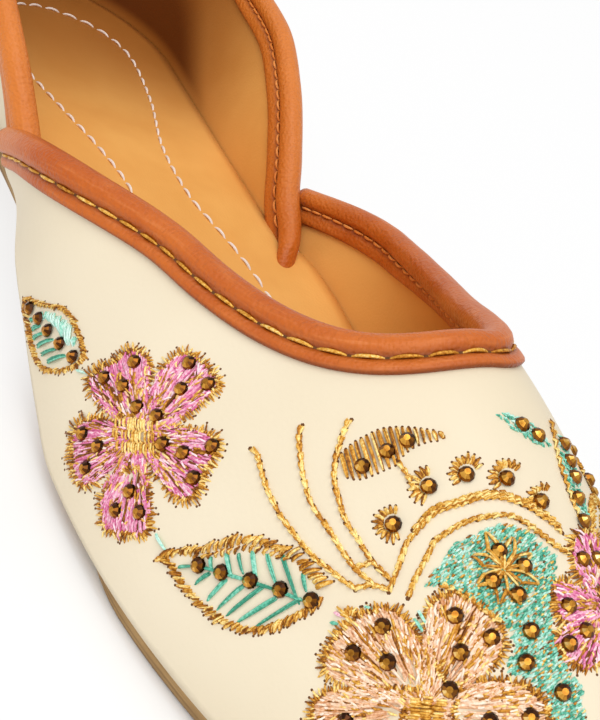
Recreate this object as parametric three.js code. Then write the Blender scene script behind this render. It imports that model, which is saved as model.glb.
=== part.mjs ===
// Embroidered leather slip-on for the right foot, in millimetres: +X to the toe, +Y to the inner side
// of the foot, +Z up. The last is drawn from the heel's back at x = 0. At the end the shoe is moved so
// that the origin lies on the floor under its middle.
import * as THREE from 'three';

// Driving sizes
const LENGTH = 248;        // of the last, heel to toe
const WALL = 2.0;          // upper leather and lining together
const GAP = 0.3;           // clearance between pieces that lie on each other
const LAP = 2.7;           // the vamp's wings stand this far off the last, the quarter lies this far in
const WING_TUCK = 2.4;     // the foot of the wings is drawn in this far
const SOLE = 3.0;          // thickness of the outsole at the waist
const SOLE_INSET = 0.8;    // the sole's edge lies this far inside the upper's outline
const WAIST_INSET = 2.8;   // and this much further inside at the waist
const SOLE_BEVEL = 0.5;    // and its bottom edge this much further in
const INSOLE = 1.2;        // insole with its cover
const HEEL_RAKE = 18;      // the last's top line starts this far in front of its heel
const TOE_RAKE = 24;       // and ends this far behind its toe
const HEEL_ROUND = 34;     // length of the rounded heel in plan
const TOE_START = 0.70;    // share of the length where the toe starts to round in
const LATERAL = -1;        // outer side of the foot
const MEDIAL = 1;          // inner side of the foot

// Half widths of the last at the feather line, where upper meets sole
const OUTLINE = [
  { at: 0.00, lateral: 30.2, medial: 30.9 },
  { at: 0.13, lateral: 31.1, medial: 31.9 },
  { at: 0.42, lateral: 32.4, medial: 25.9 },
  { at: 0.525, lateral: 38.0, medial: 31.5 },
  { at: 0.605, lateral: 40.0, medial: 37.4 },
  { at: 0.645, lateral: 40.9, medial: 38.4 },
  { at: 0.85, lateral: 34.3, medial: 34.3 },
  { at: 1.00, lateral: 21.2, medial: 21.3 },
];

// Height of the feather line
const FEATHER = [
  { at: 0.00, height: 8.7 },
  { at: 0.15, height: 8.7 },
  { at: 0.42, height: 12.2 },
  { at: 0.66, height: 2.9 },
  { at: 0.80, height: 3.3 },
  { at: 1.00, height: 6.9 },
];

// Top line of the last: its height, and how far it leans to the inner side
const SPINE = [
  { at: 0.00, height: 87.7, lean: 0.0 },
  { at: 0.25, height: 86.7, lean: 1.0 },
  { at: 0.42, height: 60.7, lean: 2.7 },
  { at: 0.60, height: 49.9, lean: -1.3 },
  { at: 0.70, height: 49.6, lean: -0.4 },
  { at: 0.85, height: 41.6, lean: 2.0 },
  { at: 1.00, height: 20.0, lean: 0.0 },
];

// Fullness of the sections against an ellipse, at the sides and at the crown
const FULLNESS = [
  { at: 0.00, side: 0.60, crown: 0.10 },
  { at: 0.12, side: 1.20, crown: 0.05 },
  { at: 0.25, side: 1.68, crown: -0.10 },
  { at: 0.42, side: 1.22, crown: -0.25 },
  { at: 0.60, side: -0.10, crown: -0.14 },
  { at: 0.70, side: -0.18, crown: -0.21 },
  { at: 1.00, side: 0.20, crown: 0.10 },
];

// Throat of the vamp: where its edge crosses the top line, where the edge would come down to the
// sole, how high it is there, the bow of the edge between the two, and the share of it that is kept
const THROAT_X = 179.2;
const WING_X = 88.9;
const WING_CUT = 0.955;
const WING_EDGE = {
  [LATERAL]: { height: 14.3, bow: [1.395, -1.135, -0.581] },
  [MEDIAL]: { height: 14.7, bow: [0.640, 0.084, -0.066] },
};

// Height of the quarter's top edge, from the heel's back to its front ends at the insole
const QUARTER_EDGE = [
  { at: 0.000, lateral: 53.0, medial: 53.0 },
  { at: 0.090, lateral: 41.0, medial: 42.5 },
  { at: 0.185, lateral: 34.6, medial: 37.3 },
  { at: 0.250, lateral: 32.0, medial: 36.1 },
  { at: 0.315, lateral: 25.6, medial: 31.7 },
  { at: 0.380, lateral: 16.2, medial: 23.9 },
  { at: 0.410, lateral: 13.8, medial: 18.8 },
  { at: 0.445, lateral: 13.0, medial: 13.0 },
];
const QUARTER_FRONT = { [LATERAL]: 106, [MEDIAL]: 110 };

// Folded edge strip, from its cut edge over the fold: distance below the upper's edge, distance off
// its face, and the same two for the side that faces the upper
const STRIP = [
  { down: 5.3, off: 1.1, slot: 5.3, seat: GAP },
  { down: 3.7, off: 1.1, slot: 3.7, seat: GAP },
  { down: 3.0, off: 0.8, slot: 3.0, seat: GAP },
  { down: 2.2, off: 1.25, slot: 2.2, seat: GAP },
  { down: 1.1, off: 1.4, slot: 1.1, seat: GAP },
  { down: 0.0, off: 1.15, slot: 0.0, seat: GAP },
  { down: -1.2, off: 0.4, slot: -0.6, seat: 0.1 },
];
const STRIP_CROWN = { down: -1.6, slot: -0.7 };
const STRIP_SLACK = 0.2;   // more clearance on the inner face, which is round
const STRIP_END = 1.2;     // the strip stops where the edge is this little above what it runs down to

// Where the heel and the ball rest on the floor, and the length of the slope at the heel's front
const HEEL_END = 60;
const BREAST = 2.5;
const BALL_START = 148;
const BALL_END = 190;
const WAIST_BLEND = 34;

// Mesh steps
const WING_STEPS = 24;
const FRONT_STEPS = 16;
const QUARTER_STEPS = 24;
const UP_STEPS = 9;
const EDGE_STEPS = 24;
const SOLE_STEPS = 34;
const ACROSS_STEPS = 4;

const { clamp, smoothstep } = THREE.MathUtils;
const UPRIGHT = Math.PI / 2;

// Slope at the end row of a table, from its two nearest steps
function endSlope(step, next, rise, nextRise) {
  const slope = ((2 * step + next) * rise - step * nextRise) / (step + next);
  if (slope * rise <= 0) return 0;
  const limit = rise * nextRise < 0 ? 3 * Math.abs(rise) : Infinity;
  return Math.sign(slope) * Math.min(Math.abs(slope), limit);
}

// Smooth curve through one column of a table, with no overshoot between its rows
function track(rows, column) {
  const x = rows.map((row) => row.at * LENGTH);
  const y = rows.map((row) => row[column]);
  const step = x.slice(1).map((value, i) => value - x[i]);
  const rise = step.map((value, i) => (y[i + 1] - y[i]) / value);
  const end = rise.length - 1;
  const slope = y.map((value, i) => {
    if (i === 0) return endSlope(step[0], step[1], rise[0], rise[1]);
    if (i > end) return endSlope(step[end], step[end - 1], rise[end], rise[end - 1]);
    if (rise[i - 1] * rise[i] <= 0) return 0;
    const before = 2 * step[i] + step[i - 1];
    const after = step[i] + 2 * step[i - 1];
    return (before + after) / (before / rise[i - 1] + after / rise[i]);
  });
  return (at) => {
    let i = 0;
    while (i < end && at > x[i + 1]) i += 1;
    const t = clamp((at - x[i]) / step[i], 0, 1);
    const s = 1 - t;
    const bend = step[i] * t * s * (slope[i] * s - slope[i + 1] * t);
    return y[i] * (1 + 2 * t) * s * s + y[i + 1] * (1 + 2 * s) * t * t + bend;
  };
}

const bySide = (rows) => ({
  [LATERAL]: track(rows, 'lateral'),
  [MEDIAL]: track(rows, 'medial'),
});
const halfWidth = bySide(OUTLINE);
const quarterHeight = bySide(QUARTER_EDGE);
const featherHeight = track(FEATHER, 'height');
const spineHeight = track(SPINE, 'height');
const spineLean = track(SPINE, 'lean');
const sideFullness = track(FULLNESS, 'side');
const crownFullness = track(FULLNESS, 'crown');

// Distance of the feather line from the axis, with the round ends of heel and toe
function reach(x, side) {
  const heel = clamp((HEEL_ROUND - x) / HEEL_ROUND, 0, 1) ** 2.2;
  const toe = clamp((x / LENGTH - TOE_START) / (1 - TOE_START), 0, 1) ** 2.3;
  return side * halfWidth[side](x) * Math.sqrt((1 - heel) * (1 - toe));
}

// Point on the last, from the x of its feather point and an angle of 0 at the feather line to a
// quarter turn at the top line
function last(x, side, angle) {
  const top = HEEL_RAKE + (LENGTH - HEEL_RAKE - TOE_RAKE) * x / LENGTH;
  const sin = Math.sin(angle);
  const cos = Math.cos(angle);
  const foot = featherHeight(x);
  const lean = spineLean(top);
  const out = cos * (1 + sideFullness(x) * sin * sin);
  const up = sin * (1 + crownFullness(x) * cos * cos);
  return new THREE.Vector3(
    x + (top - x) * sin * sin,
    lean + (reach(x, side) - lean) * out,
    foot + (spineHeight(top) - foot) * up,
  );
}

const alongLast = (x, side, angle) => {
  const front = last(Math.min(x + 0.1, LENGTH), side, angle);
  return front.sub(last(Math.max(x - 0.1, 0), side, angle)).divideScalar(0.2);
};

const upLast = (x, side, angle) => {
  const above = last(x, side, angle + 0.002);
  return above.sub(last(x, side, angle - 0.002)).divideScalar(0.004);
};

const outward = (x, side, angle) => {
  const normal = upLast(x, side, angle).cross(alongLast(x, side, angle));
  return normal.multiplyScalar(side).normalize();
};

// Angle at which a section of the last reaches a height
function angleAt(x, height) {
  let low = 0;
  let high = UPRIGHT;
  for (let k = 0; k < 30; k += 1) {
    const middle = (low + high) / 2;
    if (last(x, MEDIAL, middle).z < height) low = middle;
    else high = middle;
  }
  return low;
}

// Place reached by walking over the last from a place, in a direction, for a distance
function walk({ x, side, angle }, direction, distance) {
  const steps = 4;
  for (let k = 0; k < steps; k += 1) {
    const along = alongLast(x, side, angle);
    const up = upLast(x, side, angle);
    const skew = along.dot(up);
    const area = along.lengthSq() * up.lengthSq() - skew * skew;
    const goAlong = along.dot(direction) * up.lengthSq() - up.dot(direction) * skew;
    const goUp = up.dot(direction) * along.lengthSq() - along.dot(direction) * skew;
    x += goAlong / area * distance / steps;
    angle += goUp / area * distance / steps;
  }
  return { x, side, angle };
}

// Thick sheet: a skin of welded quads, a back behind it, and walls along its open edges
class Sheet {
  skin = [];
  back = [];
  face = [];
  level = [];
  normal = [];
  triangles = [];
  index = new Map();

  vertex({ skin, back, face = 0, level = false, normal = null }) {
    const key = skin.toArray().map((value) => Math.round(value * 1e4)).join();
    if (!this.index.has(key)) {
      this.index.set(key, this.skin.length);
      this.skin.push(skin);
      this.back.push(back);
      this.face.push(face);
      this.level.push(level);
      this.normal.push(normal);
    }
    return this.index.get(key);
  }

  triangle(a, b, c) {
    if (a !== b && b !== c && c !== a) this.triangles.push([a, b, c]);
  }

  patch(rows, columns, place, mirrored = false) {
    const grid = [];
    for (let i = 0; i <= rows; i += 1) {
      grid.push([]);
      for (let j = 0; j <= columns; j += 1) grid[i].push(this.vertex(place(i, j)));
    }
    for (let i = 0; i < rows; i += 1) {
      for (let j = 0; j < columns; j += 1) {
        const [a, b, c, d] = [grid[i][j], grid[i + 1][j], grid[i + 1][j + 1], grid[i][j + 1]];
        this.triangle(a, mirrored ? c : b, mirrored ? b : c);
        this.triangle(a, mirrored ? d : c, mirrored ? c : d);
      }
    }
    return this;
  }

  // Moves the skin out to its face and puts the back a wall's thickness behind it
  hollow(thickness) {
    const geometry = new THREE.BufferGeometry().setFromPoints(this.skin);
    geometry.setIndex(this.triangles.flat());
    geometry.computeVertexNormals();
    const normals = geometry.getAttribute('normal');
    this.skin.forEach((point, i) => {
      const normal = this.normal[i] ?? new THREE.Vector3().fromBufferAttribute(normals, i);
      if (this.level[i]) normal.setZ(0).normalize();
      this.back[i] = point.clone().addScaledVector(normal, this.face[i] - thickness);
      point.addScaledVector(normal, this.face[i]);
    });
    return this;
  }

  solid() {
    const count = this.skin.length;
    const edges = new Set();
    const faces = [];
    for (const [a, b, c] of this.triangles) {
      faces.push([a, b, c], [c + count, b + count, a + count]);
      for (const [from, to] of [[a, b], [b, c], [c, a]]) edges.add(`${from}_${to}`);
    }
    for (const edge of edges) {
      const [a, b] = edge.split('_').map(Number);
      if (!edges.has(`${b}_${a}`)) faces.push([b, a, a + count], [b, a + count, b + count]);
    }
    const geometry = new THREE.BufferGeometry().setFromPoints([...this.skin, ...this.back]);
    geometry.setIndex(faces.flat());
    geometry.computeVertexNormals();
    return geometry;
  }
}

// Vamp: its edge from the throat to the wing's end, and its rows from there to the toe
const throatSection = (THROAT_X - HEEL_RAKE) * LENGTH / (LENGTH - HEEL_RAKE - TOE_RAKE);

function vampEdge(side, s) {
  const { height, bow: [first, second, third] } = WING_EDGE[side];
  const fourth = 1 - first - second - third;
  const drop = s * (first + s * (second + s * (third + s * fourth)));
  return {
    x: throatSection + (WING_X - throatSection) * s * s,
    side,
    angle: UPRIGHT - (UPRIGHT - angleAt(WING_X, height)) * drop,
    edge: true,
  };
}

// How far the vamp's outer face stands off the last, less at the foot of its wings
function vampFace({ x, side, angle }) {
  const back = clamp((throatSection - x) / (throatSection - WING_X), 0, 1);
  const low = 1 - clamp(angle / vampEdge(side, Math.sqrt(back)).angle, 0, 1);
  const tuck = WING_TUCK * (1 - smoothstep(x, 100, 122)) * low ** 2.5;
  return LAP * (1 - smoothstep(x, 105, 135)) - tuck;
}

function vampRows(side) {
  const rows = [];
  for (let k = WING_STEPS; k >= 0; k -= 1) rows.push(vampEdge(side, WING_CUT * k / WING_STEPS));
  for (let k = 1; k <= FRONT_STEPS; k += 1) {
    const share = Math.sin(UPRIGHT * k / FRONT_STEPS);
    rows.push({ x: throatSection + (LENGTH - throatSection) * share, side, angle: UPRIGHT });
  }
  return rows;
}

// Quarter: its edge from the heel's back at 0 to its front end at 1
function quarterEdge(side, t) {
  const x = QUARTER_FRONT[side] * (1 - Math.cos(Math.PI * t)) / 2;
  return { x, side, angle: angleAt(x, quarterHeight[side](x)), edge: true };
}

const quarterFace = () => -LAP;

function quarterRows(side) {
  const rows = [];
  for (let k = 0; k <= QUARTER_STEPS; k += 1) rows.push(quarterEdge(side, k / QUARTER_STEPS));
  return rows;
}

// Upper piece: a wall between the feather line and its edge, on both sides of the foot
function upper(rowsOf, faceAt) {
  const sheet = new Sheet();
  for (const side of [LATERAL, MEDIAL]) {
    const rows = rowsOf(side);
    const place = (i, j) => {
      const { x, edge } = rows[i];
      const angle = rows[i].angle * j / UP_STEPS;
      return {
        skin: last(x, side, angle),
        face: faceAt({ x, side, angle }),
        level: j === 0,
        normal: edge && j === UP_STEPS ? outward(x, side, angle) : null,
      };
    };
    sheet.patch(rows.length - 1, UP_STEPS, place, side === MEDIAL);
  }
  return sheet.hollow(WALL).solid();
}

// Edge strip folded over an upper's edge, which runs with the open side on its left. Where the edge
// comes down to the sole the strip gets narrower.
function binding(wholeEdge, faceAt, seatAt) {
  const roomAt = ({ x, side, angle }) => last(x, side, angle).z - seatAt(x);
  const edge = wholeEdge.filter((place) => roomAt(place) > STRIP_END);
  const points = edge.map(({ x, side, angle }) => last(x, side, angle));
  const end = points.length - 1;
  const sections = edge.map((place, i) => {
    const tangent = points[Math.min(i + 1, end)].clone().sub(points[Math.max(i - 1, 0)]);
    const away = outward(place.x, place.side, place.angle).cross(tangent).normalize();
    const inward = away.clone().negate();
    const narrow = Math.min(roomAt(place) / STRIP[0].down, 1);
    const at = (down, off, inside) => {
      const foot = down > 0 ? walk(place, inward, down * narrow) : place;
      const normal = outward(foot.x, foot.side, foot.angle);
      const height = faceAt(foot) + (inside ? -WALL - STRIP_SLACK - off : off);
      const point = last(foot.x, foot.side, foot.angle).addScaledVector(normal, height);
      return point.addScaledVector(away, Math.max(-down, 0));
    };
    const row = (inside) => ({ down, off, slot, seat }) => ({
      skin: at(down, off, inside),
      back: at(slot, seat, inside),
    });
    const crown = {
      skin: at(STRIP_CROWN.down, -WALL / 2, false),
      back: at(STRIP_CROWN.slot, -WALL / 2, false),
    };
    return [...STRIP.map(row(true)), crown, ...STRIP.map(row(false)).reverse()];
  });
  const columns = sections[0].length - 1;
  return new Sheet().patch(end, columns, (i, j) => sections[i][j], true).solid();
}

function vampBindingEdge() {
  const edge = [];
  for (let k = EDGE_STEPS; k > 0; k -= 1) edge.push(vampEdge(LATERAL, WING_CUT * k / EDGE_STEPS));
  for (let k = 0; k <= EDGE_STEPS; k += 1) edge.push(vampEdge(MEDIAL, WING_CUT * k / EDGE_STEPS));
  return edge;
}

function quarterBindingEdge() {
  const edge = [];
  for (let k = EDGE_STEPS; k > 0; k -= 1) edge.push(quarterEdge(MEDIAL, k / EDGE_STEPS));
  for (let k = 0; k <= EDGE_STEPS; k += 1) edge.push(quarterEdge(LATERAL, k / EDGE_STEPS));
  return edge;
}

// Plate between the two sides of the feather line, with the margins and heights of its two faces
function plate(stations, lower, higher) {
  const edgePoint = (x, side, margin) => {
    const normal = outward(x, side, 0).setZ(0).normalize();
    return last(x, side, 0).addScaledVector(normal, margin);
  };
  const across = (x, share, { margin, height }) => {
    const from = edgePoint(x, LATERAL, margin(x));
    const to = edgePoint(x, MEDIAL, margin(x));
    const tip = x === 0 || x === LENGTH;
    return from.lerp(to, tip ? 0.5 : share).setZ(height(x));
  };
  const place = (i, j) => ({
    skin: across(stations[i], j / ACROSS_STEPS, higher),
    back: across(stations[i], j / ACROSS_STEPS, lower),
  });
  return new Sheet().patch(stations.length - 1, ACROSS_STEPS, place).solid();
}

function stationsWith(extra) {
  const stations = [...extra];
  for (let k = 0; k <= SOLE_STEPS; k += 1) {
    const x = LENGTH * (1 - Math.cos(Math.PI * k / SOLE_STEPS)) / 2;
    if (extra.every((other) => Math.abs(other - x) > 1.5)) stations.push(x);
  }
  return stations.sort((a, b) => a - b);
}

// Sole: follows the quarter at the heel and the vamp from its wings forward
function soleMargin(x) {
  const behind = LAP * (2 * smoothstep(x, 50, WING_X) - 1);
  const waist = smoothstep(x, HEEL_END, WING_X) * (1 - smoothstep(x, 164, 186));
  return behind - LAP * smoothstep(x, 105, 135) - SOLE_INSET - WAIST_INSET * waist;
}

function soleBottom(x) {
  const waist = (featherHeight(x) - SOLE) * smoothstep(BALL_START - x, 0, WAIST_BLEND);
  if (x <= HEEL_END || (x >= BALL_START && x <= BALL_END)) return 0;
  if (x > BALL_END) return featherHeight(x) - featherHeight(BALL_END);
  return waist * clamp((x - HEEL_END) / BREAST, 0, 1);
}

const outsoleTop = (x) => featherHeight(x) - GAP;
const soleStations = stationsWith([HEEL_END, HEEL_END + BREAST, BALL_START, BALL_END]);
const outsole = plate(
  soleStations,
  { margin: (x) => soleMargin(x) - SOLE_BEVEL, height: soleBottom },
  { margin: soleMargin, height: outsoleTop },
);

// Insole: lies inside the quarter at the back and inside the vamp in front of it
const INSOLE_STEP = [QUARTER_FRONT[MEDIAL] + 1.5, QUARTER_FRONT[MEDIAL] + 4, QUARTER_FRONT[MEDIAL] + 6.5];

function insoleMargin(x) {
  const front = smoothstep(x, INSOLE_STEP[0], INSOLE_STEP[2]);
  const behind = quarterFace({ x });
  const ahead = vampFace({ x, side: MEDIAL, angle: 0 });
  return behind * (1 - front) + ahead * front - WALL - 3 * GAP;
}

const insoleTop = (x) => featherHeight(x) + INSOLE;
const insole = plate(
  stationsWith(INSOLE_STEP),
  { margin: insoleMargin, height: featherHeight },
  { margin: insoleMargin, height: insoleTop },
);

// Finishes
const creamLeather = { color: 0xf3e8cf, roughness: 0.55, metalness: 0 };
const tanLeather = { color: 0xc2652c, roughness: 0.4, metalness: 0 };
const liningLeather = { color: 0xdba262, roughness: 0.6, metalness: 0 };
const soleLeather = { color: 0xb49462, roughness: 0.75, metalness: 0 };

function piece(name, geometry, finish) {
  const mesh = new THREE.Mesh(geometry, new THREE.MeshStandardMaterial(finish));
  mesh.name = name;
  return mesh;
}

const shoe = new THREE.Group();
shoe.add(
  piece('outsole', outsole, soleLeather),
  piece('insole', insole, liningLeather),
  piece('vamp', upper(vampRows, vampFace), creamLeather),
  piece('quarter', upper(quarterRows, quarterFace), creamLeather),
  piece('vamp_binding', binding(vampBindingEdge(), vampFace, outsoleTop), tanLeather),
  piece('quarter_binding', binding(quarterBindingEdge(), quarterFace, insoleTop), tanLeather),
);

const middle = new THREE.Box3().setFromObject(shoe).getCenter(new THREE.Vector3());
shoe.position.set(-middle.x, -middle.y, 0);

export default shoe;
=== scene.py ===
import math

import bmesh
import bpy
import numpy as np
from mathutils import Matrix, Vector
from mathutils.bvhtree import BVHTree


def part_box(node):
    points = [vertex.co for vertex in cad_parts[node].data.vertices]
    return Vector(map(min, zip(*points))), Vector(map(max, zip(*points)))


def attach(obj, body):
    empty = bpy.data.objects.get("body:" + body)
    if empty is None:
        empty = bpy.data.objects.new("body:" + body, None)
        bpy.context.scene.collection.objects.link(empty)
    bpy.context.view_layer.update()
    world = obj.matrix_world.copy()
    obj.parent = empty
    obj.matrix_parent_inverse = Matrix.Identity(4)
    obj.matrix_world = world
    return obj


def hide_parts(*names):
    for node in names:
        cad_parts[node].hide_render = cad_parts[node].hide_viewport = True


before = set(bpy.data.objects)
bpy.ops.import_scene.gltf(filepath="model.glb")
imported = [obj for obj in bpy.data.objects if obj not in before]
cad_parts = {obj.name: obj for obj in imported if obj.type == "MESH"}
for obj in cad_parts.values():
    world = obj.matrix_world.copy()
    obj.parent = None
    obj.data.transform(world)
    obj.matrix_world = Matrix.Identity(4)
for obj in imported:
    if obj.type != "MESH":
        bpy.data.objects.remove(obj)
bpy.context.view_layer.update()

# Outsole
# One layer of tan sole leather, cut to the last's outline, with a thicker heel that stands flat on the
# floor, a raised waist, a flat ball and a little toe spring. Its edge is left raw and burnished.

# Sizes are millimetres on the last, whose x runs from the heel's back to the toe
LENGTH = 248.0
WALL = 2.0
GAP = 0.3
LAP = 2.7
SOLE = 3.0
SOLE_INSET, WAIST_INSET = 0.8, 2.8
HEEL_RAKE, TOE_RAKE = 18.0, 24.0
HEEL_ROUND, HEEL_CURVE = 34.0, 2.2
TOE_START, TOE_CURVE = 0.70, 2.3
STEP_ALONG, STEP_UP = 0.1, 0.002
WELD = 0.02
STATIONS = 150
LATERAL, MEDIAL = -1, 1

OUTLINE = [
    dict(at=0.00, lateral=30.2, medial=30.9),
    dict(at=0.13, lateral=31.1, medial=31.9),
    dict(at=0.42, lateral=32.4, medial=25.9),
    dict(at=0.525, lateral=38.0, medial=31.5),
    dict(at=0.605, lateral=40.0, medial=37.4),
    dict(at=0.645, lateral=40.9, medial=38.4),
    dict(at=0.85, lateral=34.3, medial=34.3),
    dict(at=1.00, lateral=21.2, medial=21.3),
]
FEATHER = [
    dict(at=0.00, height=8.7),
    dict(at=0.15, height=8.7),
    dict(at=0.42, height=12.2),
    dict(at=0.66, height=2.9),
    dict(at=0.80, height=3.3),
    dict(at=1.00, height=6.9),
]
SPINE = [
    dict(at=0.00, height=87.7, lean=0.0),
    dict(at=0.25, height=86.7, lean=1.0),
    dict(at=0.42, height=60.7, lean=2.7),
    dict(at=0.60, height=49.9, lean=-1.3),
    dict(at=0.70, height=49.6, lean=-0.4),
    dict(at=0.85, height=41.6, lean=2.0),
    dict(at=1.00, height=20.0, lean=0.0),
]
FULLNESS = [
    dict(at=0.00, side=0.60, crown=0.10),
    dict(at=0.12, side=1.20, crown=0.05),
    dict(at=0.25, side=1.68, crown=-0.10),
    dict(at=0.42, side=1.22, crown=-0.25),
    dict(at=0.60, side=-0.10, crown=-0.14),
    dict(at=0.70, side=-0.18, crown=-0.21),
    dict(at=1.00, side=0.20, crown=0.10),
]


def end_slope(step, following, rise, next_rise):
    slope = ((2 * step + following) * rise - step * next_rise) / (step + following)
    if slope * rise <= 0:
        return 0.0
    limit = 3 * abs(rise) if rise * next_rise < 0 else math.inf
    return math.copysign(min(abs(slope), limit), slope)


def track(rows, column):
    """Smooth curve through one column of a table, with no overshoot between its rows."""
    x = np.array([row["at"] for row in rows]) * LENGTH
    y = np.array([row[column] for row in rows])
    step = np.diff(x)
    rise = np.diff(y) / step
    slope = np.zeros(len(x))
    for i in range(1, len(x) - 1):
        if rise[i - 1] * rise[i] > 0:
            before = 2 * step[i] + step[i - 1]
            after = step[i] + 2 * step[i - 1]
            slope[i] = (before + after) / (before / rise[i - 1] + after / rise[i])
    slope[0] = end_slope(step[0], step[1], rise[0], rise[1])
    slope[-1] = end_slope(step[-1], step[-2], rise[-1], rise[-2])

    def value(at):
        i = np.clip(np.searchsorted(x, at) - 1, 0, len(step) - 1)
        t = np.clip((at - x[i]) / step[i], 0, 1)
        s = 1 - t
        bend = step[i] * t * s * (slope[i] * s - slope[i + 1] * t)
        return y[i] * (1 + 2 * t) * s * s + y[i + 1] * (1 + 2 * s) * t * t + bend

    return value


half_lateral, half_medial = track(OUTLINE, "lateral"), track(OUTLINE, "medial")
feather_height = track(FEATHER, "height")
spine_height, spine_lean = track(SPINE, "height"), track(SPINE, "lean")
side_fullness, crown_fullness = track(FULLNESS, "side"), track(FULLNESS, "crown")


def smooth(x, low, high):
    t = np.clip((np.asarray(x, float) - low) / (high - low), 0, 1)
    return t * t * (3 - 2 * t)


def reach(x, side):
    """Half width of the last's foot, rounded off at heel and toe."""
    heel = np.clip((HEEL_ROUND - x) / HEEL_ROUND, 0, 1) ** HEEL_CURVE
    toe = np.clip((x / LENGTH - TOE_START) / (1 - TOE_START), 0, 1) ** TOE_CURVE
    half = np.where(np.asarray(side) > 0, half_medial(x), half_lateral(x))
    return side * half * np.sqrt((1 - heel) * (1 - toe))


def last(x, side, angle):
    """Point on the last, from its feather point's x and an angle of 0 there to a quarter turn at the top."""
    x, angle = np.broadcast_arrays(np.asarray(x, float), np.asarray(angle, float))
    top = HEEL_RAKE + (LENGTH - HEEL_RAKE - TOE_RAKE) * x / LENGTH
    sin, cos = np.sin(angle), np.cos(angle)
    foot, lean = feather_height(x), spine_lean(top)
    out = cos * (1 + side_fullness(x) * sin * sin)
    up = sin * (1 + crown_fullness(x) * cos * cos)
    across = lean + (reach(x, side) - lean) * out
    return np.stack([x + (top - x) * sin * sin, across, foot + (spine_height(top) - foot) * up], -1)


def unit(v):
    return v / (np.linalg.norm(v, axis=-1, keepdims=True) + 1e-9)


def along_last(x, side, angle):
    ahead, behind = np.minimum(x + STEP_ALONG, LENGTH), np.maximum(x - STEP_ALONG, 0)
    return (last(ahead, side, angle) - last(behind, side, angle)) / (2 * STEP_ALONG)


def up_last(x, side, angle):
    return (last(x, side, angle + STEP_UP) - last(x, side, angle - STEP_UP)) / (2 * STEP_UP)


def outward(x, side, angle):
    normal = np.cross(up_last(x, side, angle), along_last(x, side, angle))
    return unit(normal * np.asarray(side)[..., None])


# The CAD model's origin lies on the floor under its middle, the last's under its heel
TOE_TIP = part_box("vamp")[1].x * 1000
BALL_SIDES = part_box("vamp")[0].y * 1000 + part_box("vamp")[1].y * 1000
BALL = max(OUTLINE, key=lambda row: row["lateral"])
BALL_MIDDLE = (BALL["medial"] - BALL["lateral"] - BALL_SIDES) / 2
SHIFT = np.array([LENGTH - TOE_TIP, BALL_MIDDLE, 0.0])


def to_frame(points):
    return (np.asarray(points, float) - SHIFT) / 1000


def grid_faces(rows, columns, flip=False, start=0):
    faces = []
    for i in range(rows - 1):
        for j in range(columns - 1):
            a = start + i * columns + j
            face = (a, a + columns, a + columns + 1, a + 1)
            faces.append(face[::-1] if flip else face)
    return faces


def add_piece(name, points, faces, weld=0.0):
    """Mesh piece in the row frame, from points in the last's millimetres."""
    mesh = bpy.data.meshes.new(name)
    mesh.from_pydata(to_frame(points).tolist(), [], faces)
    if weld:
        bm = bmesh.new()
        bm.from_mesh(mesh)
        bmesh.ops.remove_doubles(bm, verts=bm.verts, dist=weld / 1000)
        bm.to_mesh(mesh)
        bm.free()
    mesh.shade_smooth()
    piece = bpy.data.objects.new(name, mesh)
    bpy.context.scene.collection.objects.link(piece)
    return piece


def finish_mesh(piece):
    """Turns a piece's modifiers into plain mesh."""
    evaluated = piece.evaluated_get(bpy.context.evaluated_depsgraph_get())
    mesh = bpy.data.meshes.new_from_object(evaluated)
    piece.modifiers.clear()
    piece.data = mesh


def belongs(piece, finish, *nodes):
    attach(piece, "root")
    if nodes:
        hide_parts(*nodes)


class Shade:
    """A socket of a material's nodes, for sums that are written as expressions."""

    def __init__(self, tree, socket=None):
        self.tree, self.socket = tree, socket

    def node(self, kind, settings=None, sockets=None, out=0):
        made = self.tree.nodes.new(kind)
        for key, value in (settings or {}).items():
            if key == "stops":
                ramp = made.color_ramp
                while len(ramp.elements) < len(value):
                    ramp.elements.new(1.0)
                for element, (place, colour) in zip(ramp.elements, value):
                    element.position, element.color = place, (*colour, 1.0)
            else:
                setattr(made, key, value)
        for key, value in (sockets or {}).items():
            if isinstance(value, Shade):
                self.tree.links.new(value.socket, made.inputs[key])
            else:
                made.inputs[key].default_value = value
        return Shade(self.tree, made.outputs[out])

    def sum(self, operation, *values):
        return self.node("ShaderNodeMath", {"operation": operation}, dict(enumerate(values)))

    def __add__(self, other):
        return self.sum("ADD", self, other)

    def __radd__(self, other):
        return self.sum("ADD", other, self)

    def __sub__(self, other):
        return self.sum("SUBTRACT", self, other)

    def __rsub__(self, other):
        return self.sum("SUBTRACT", other, self)

    def __mul__(self, other):
        return self.sum("MULTIPLY", self, other)

    def __rmul__(self, other):
        return self.sum("MULTIPLY", other, self)

    def step(self, low, high):
        return self.node("ShaderNodeMapRange", {"interpolation_type": "SMOOTHSTEP"},
                         {"Value": self, "From Min": low, "From Max": high})

    def mix(self, first, second):
        return self.node("ShaderNodeMix", {"data_type": "RGBA"}, {0: self, 6: first, 7: second}, 2)

    def noise(self, place, scale, detail=3.0):
        return self.node("ShaderNodeTexNoise", None,
                         {"Vector": place, "Scale": scale, "Detail": detail, "Roughness": 0.55})

    def cells(self, place, scale, feature="F1"):
        return self.node("ShaderNodeTexVoronoi", {"feature": feature}, {"Vector": place, "Scale": scale})

    def bump(self, height, strength, distance):
        return self.node("ShaderNodeBump", None,
                         {"Height": height, "Strength": strength, "Distance": distance})


def rgb(red, green, blue):
    """Linear colour of a colour read off the photo, 0 to 255."""
    shares = [value / 255 for value in (red, green, blue)]
    return tuple(((c + 0.055) / 1.055) ** 2.4 if c > 0.04 else c / 12.92 for c in shares)


def colour(red, green, blue):
    return (*rgb(red, green, blue), 1.0)


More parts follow.
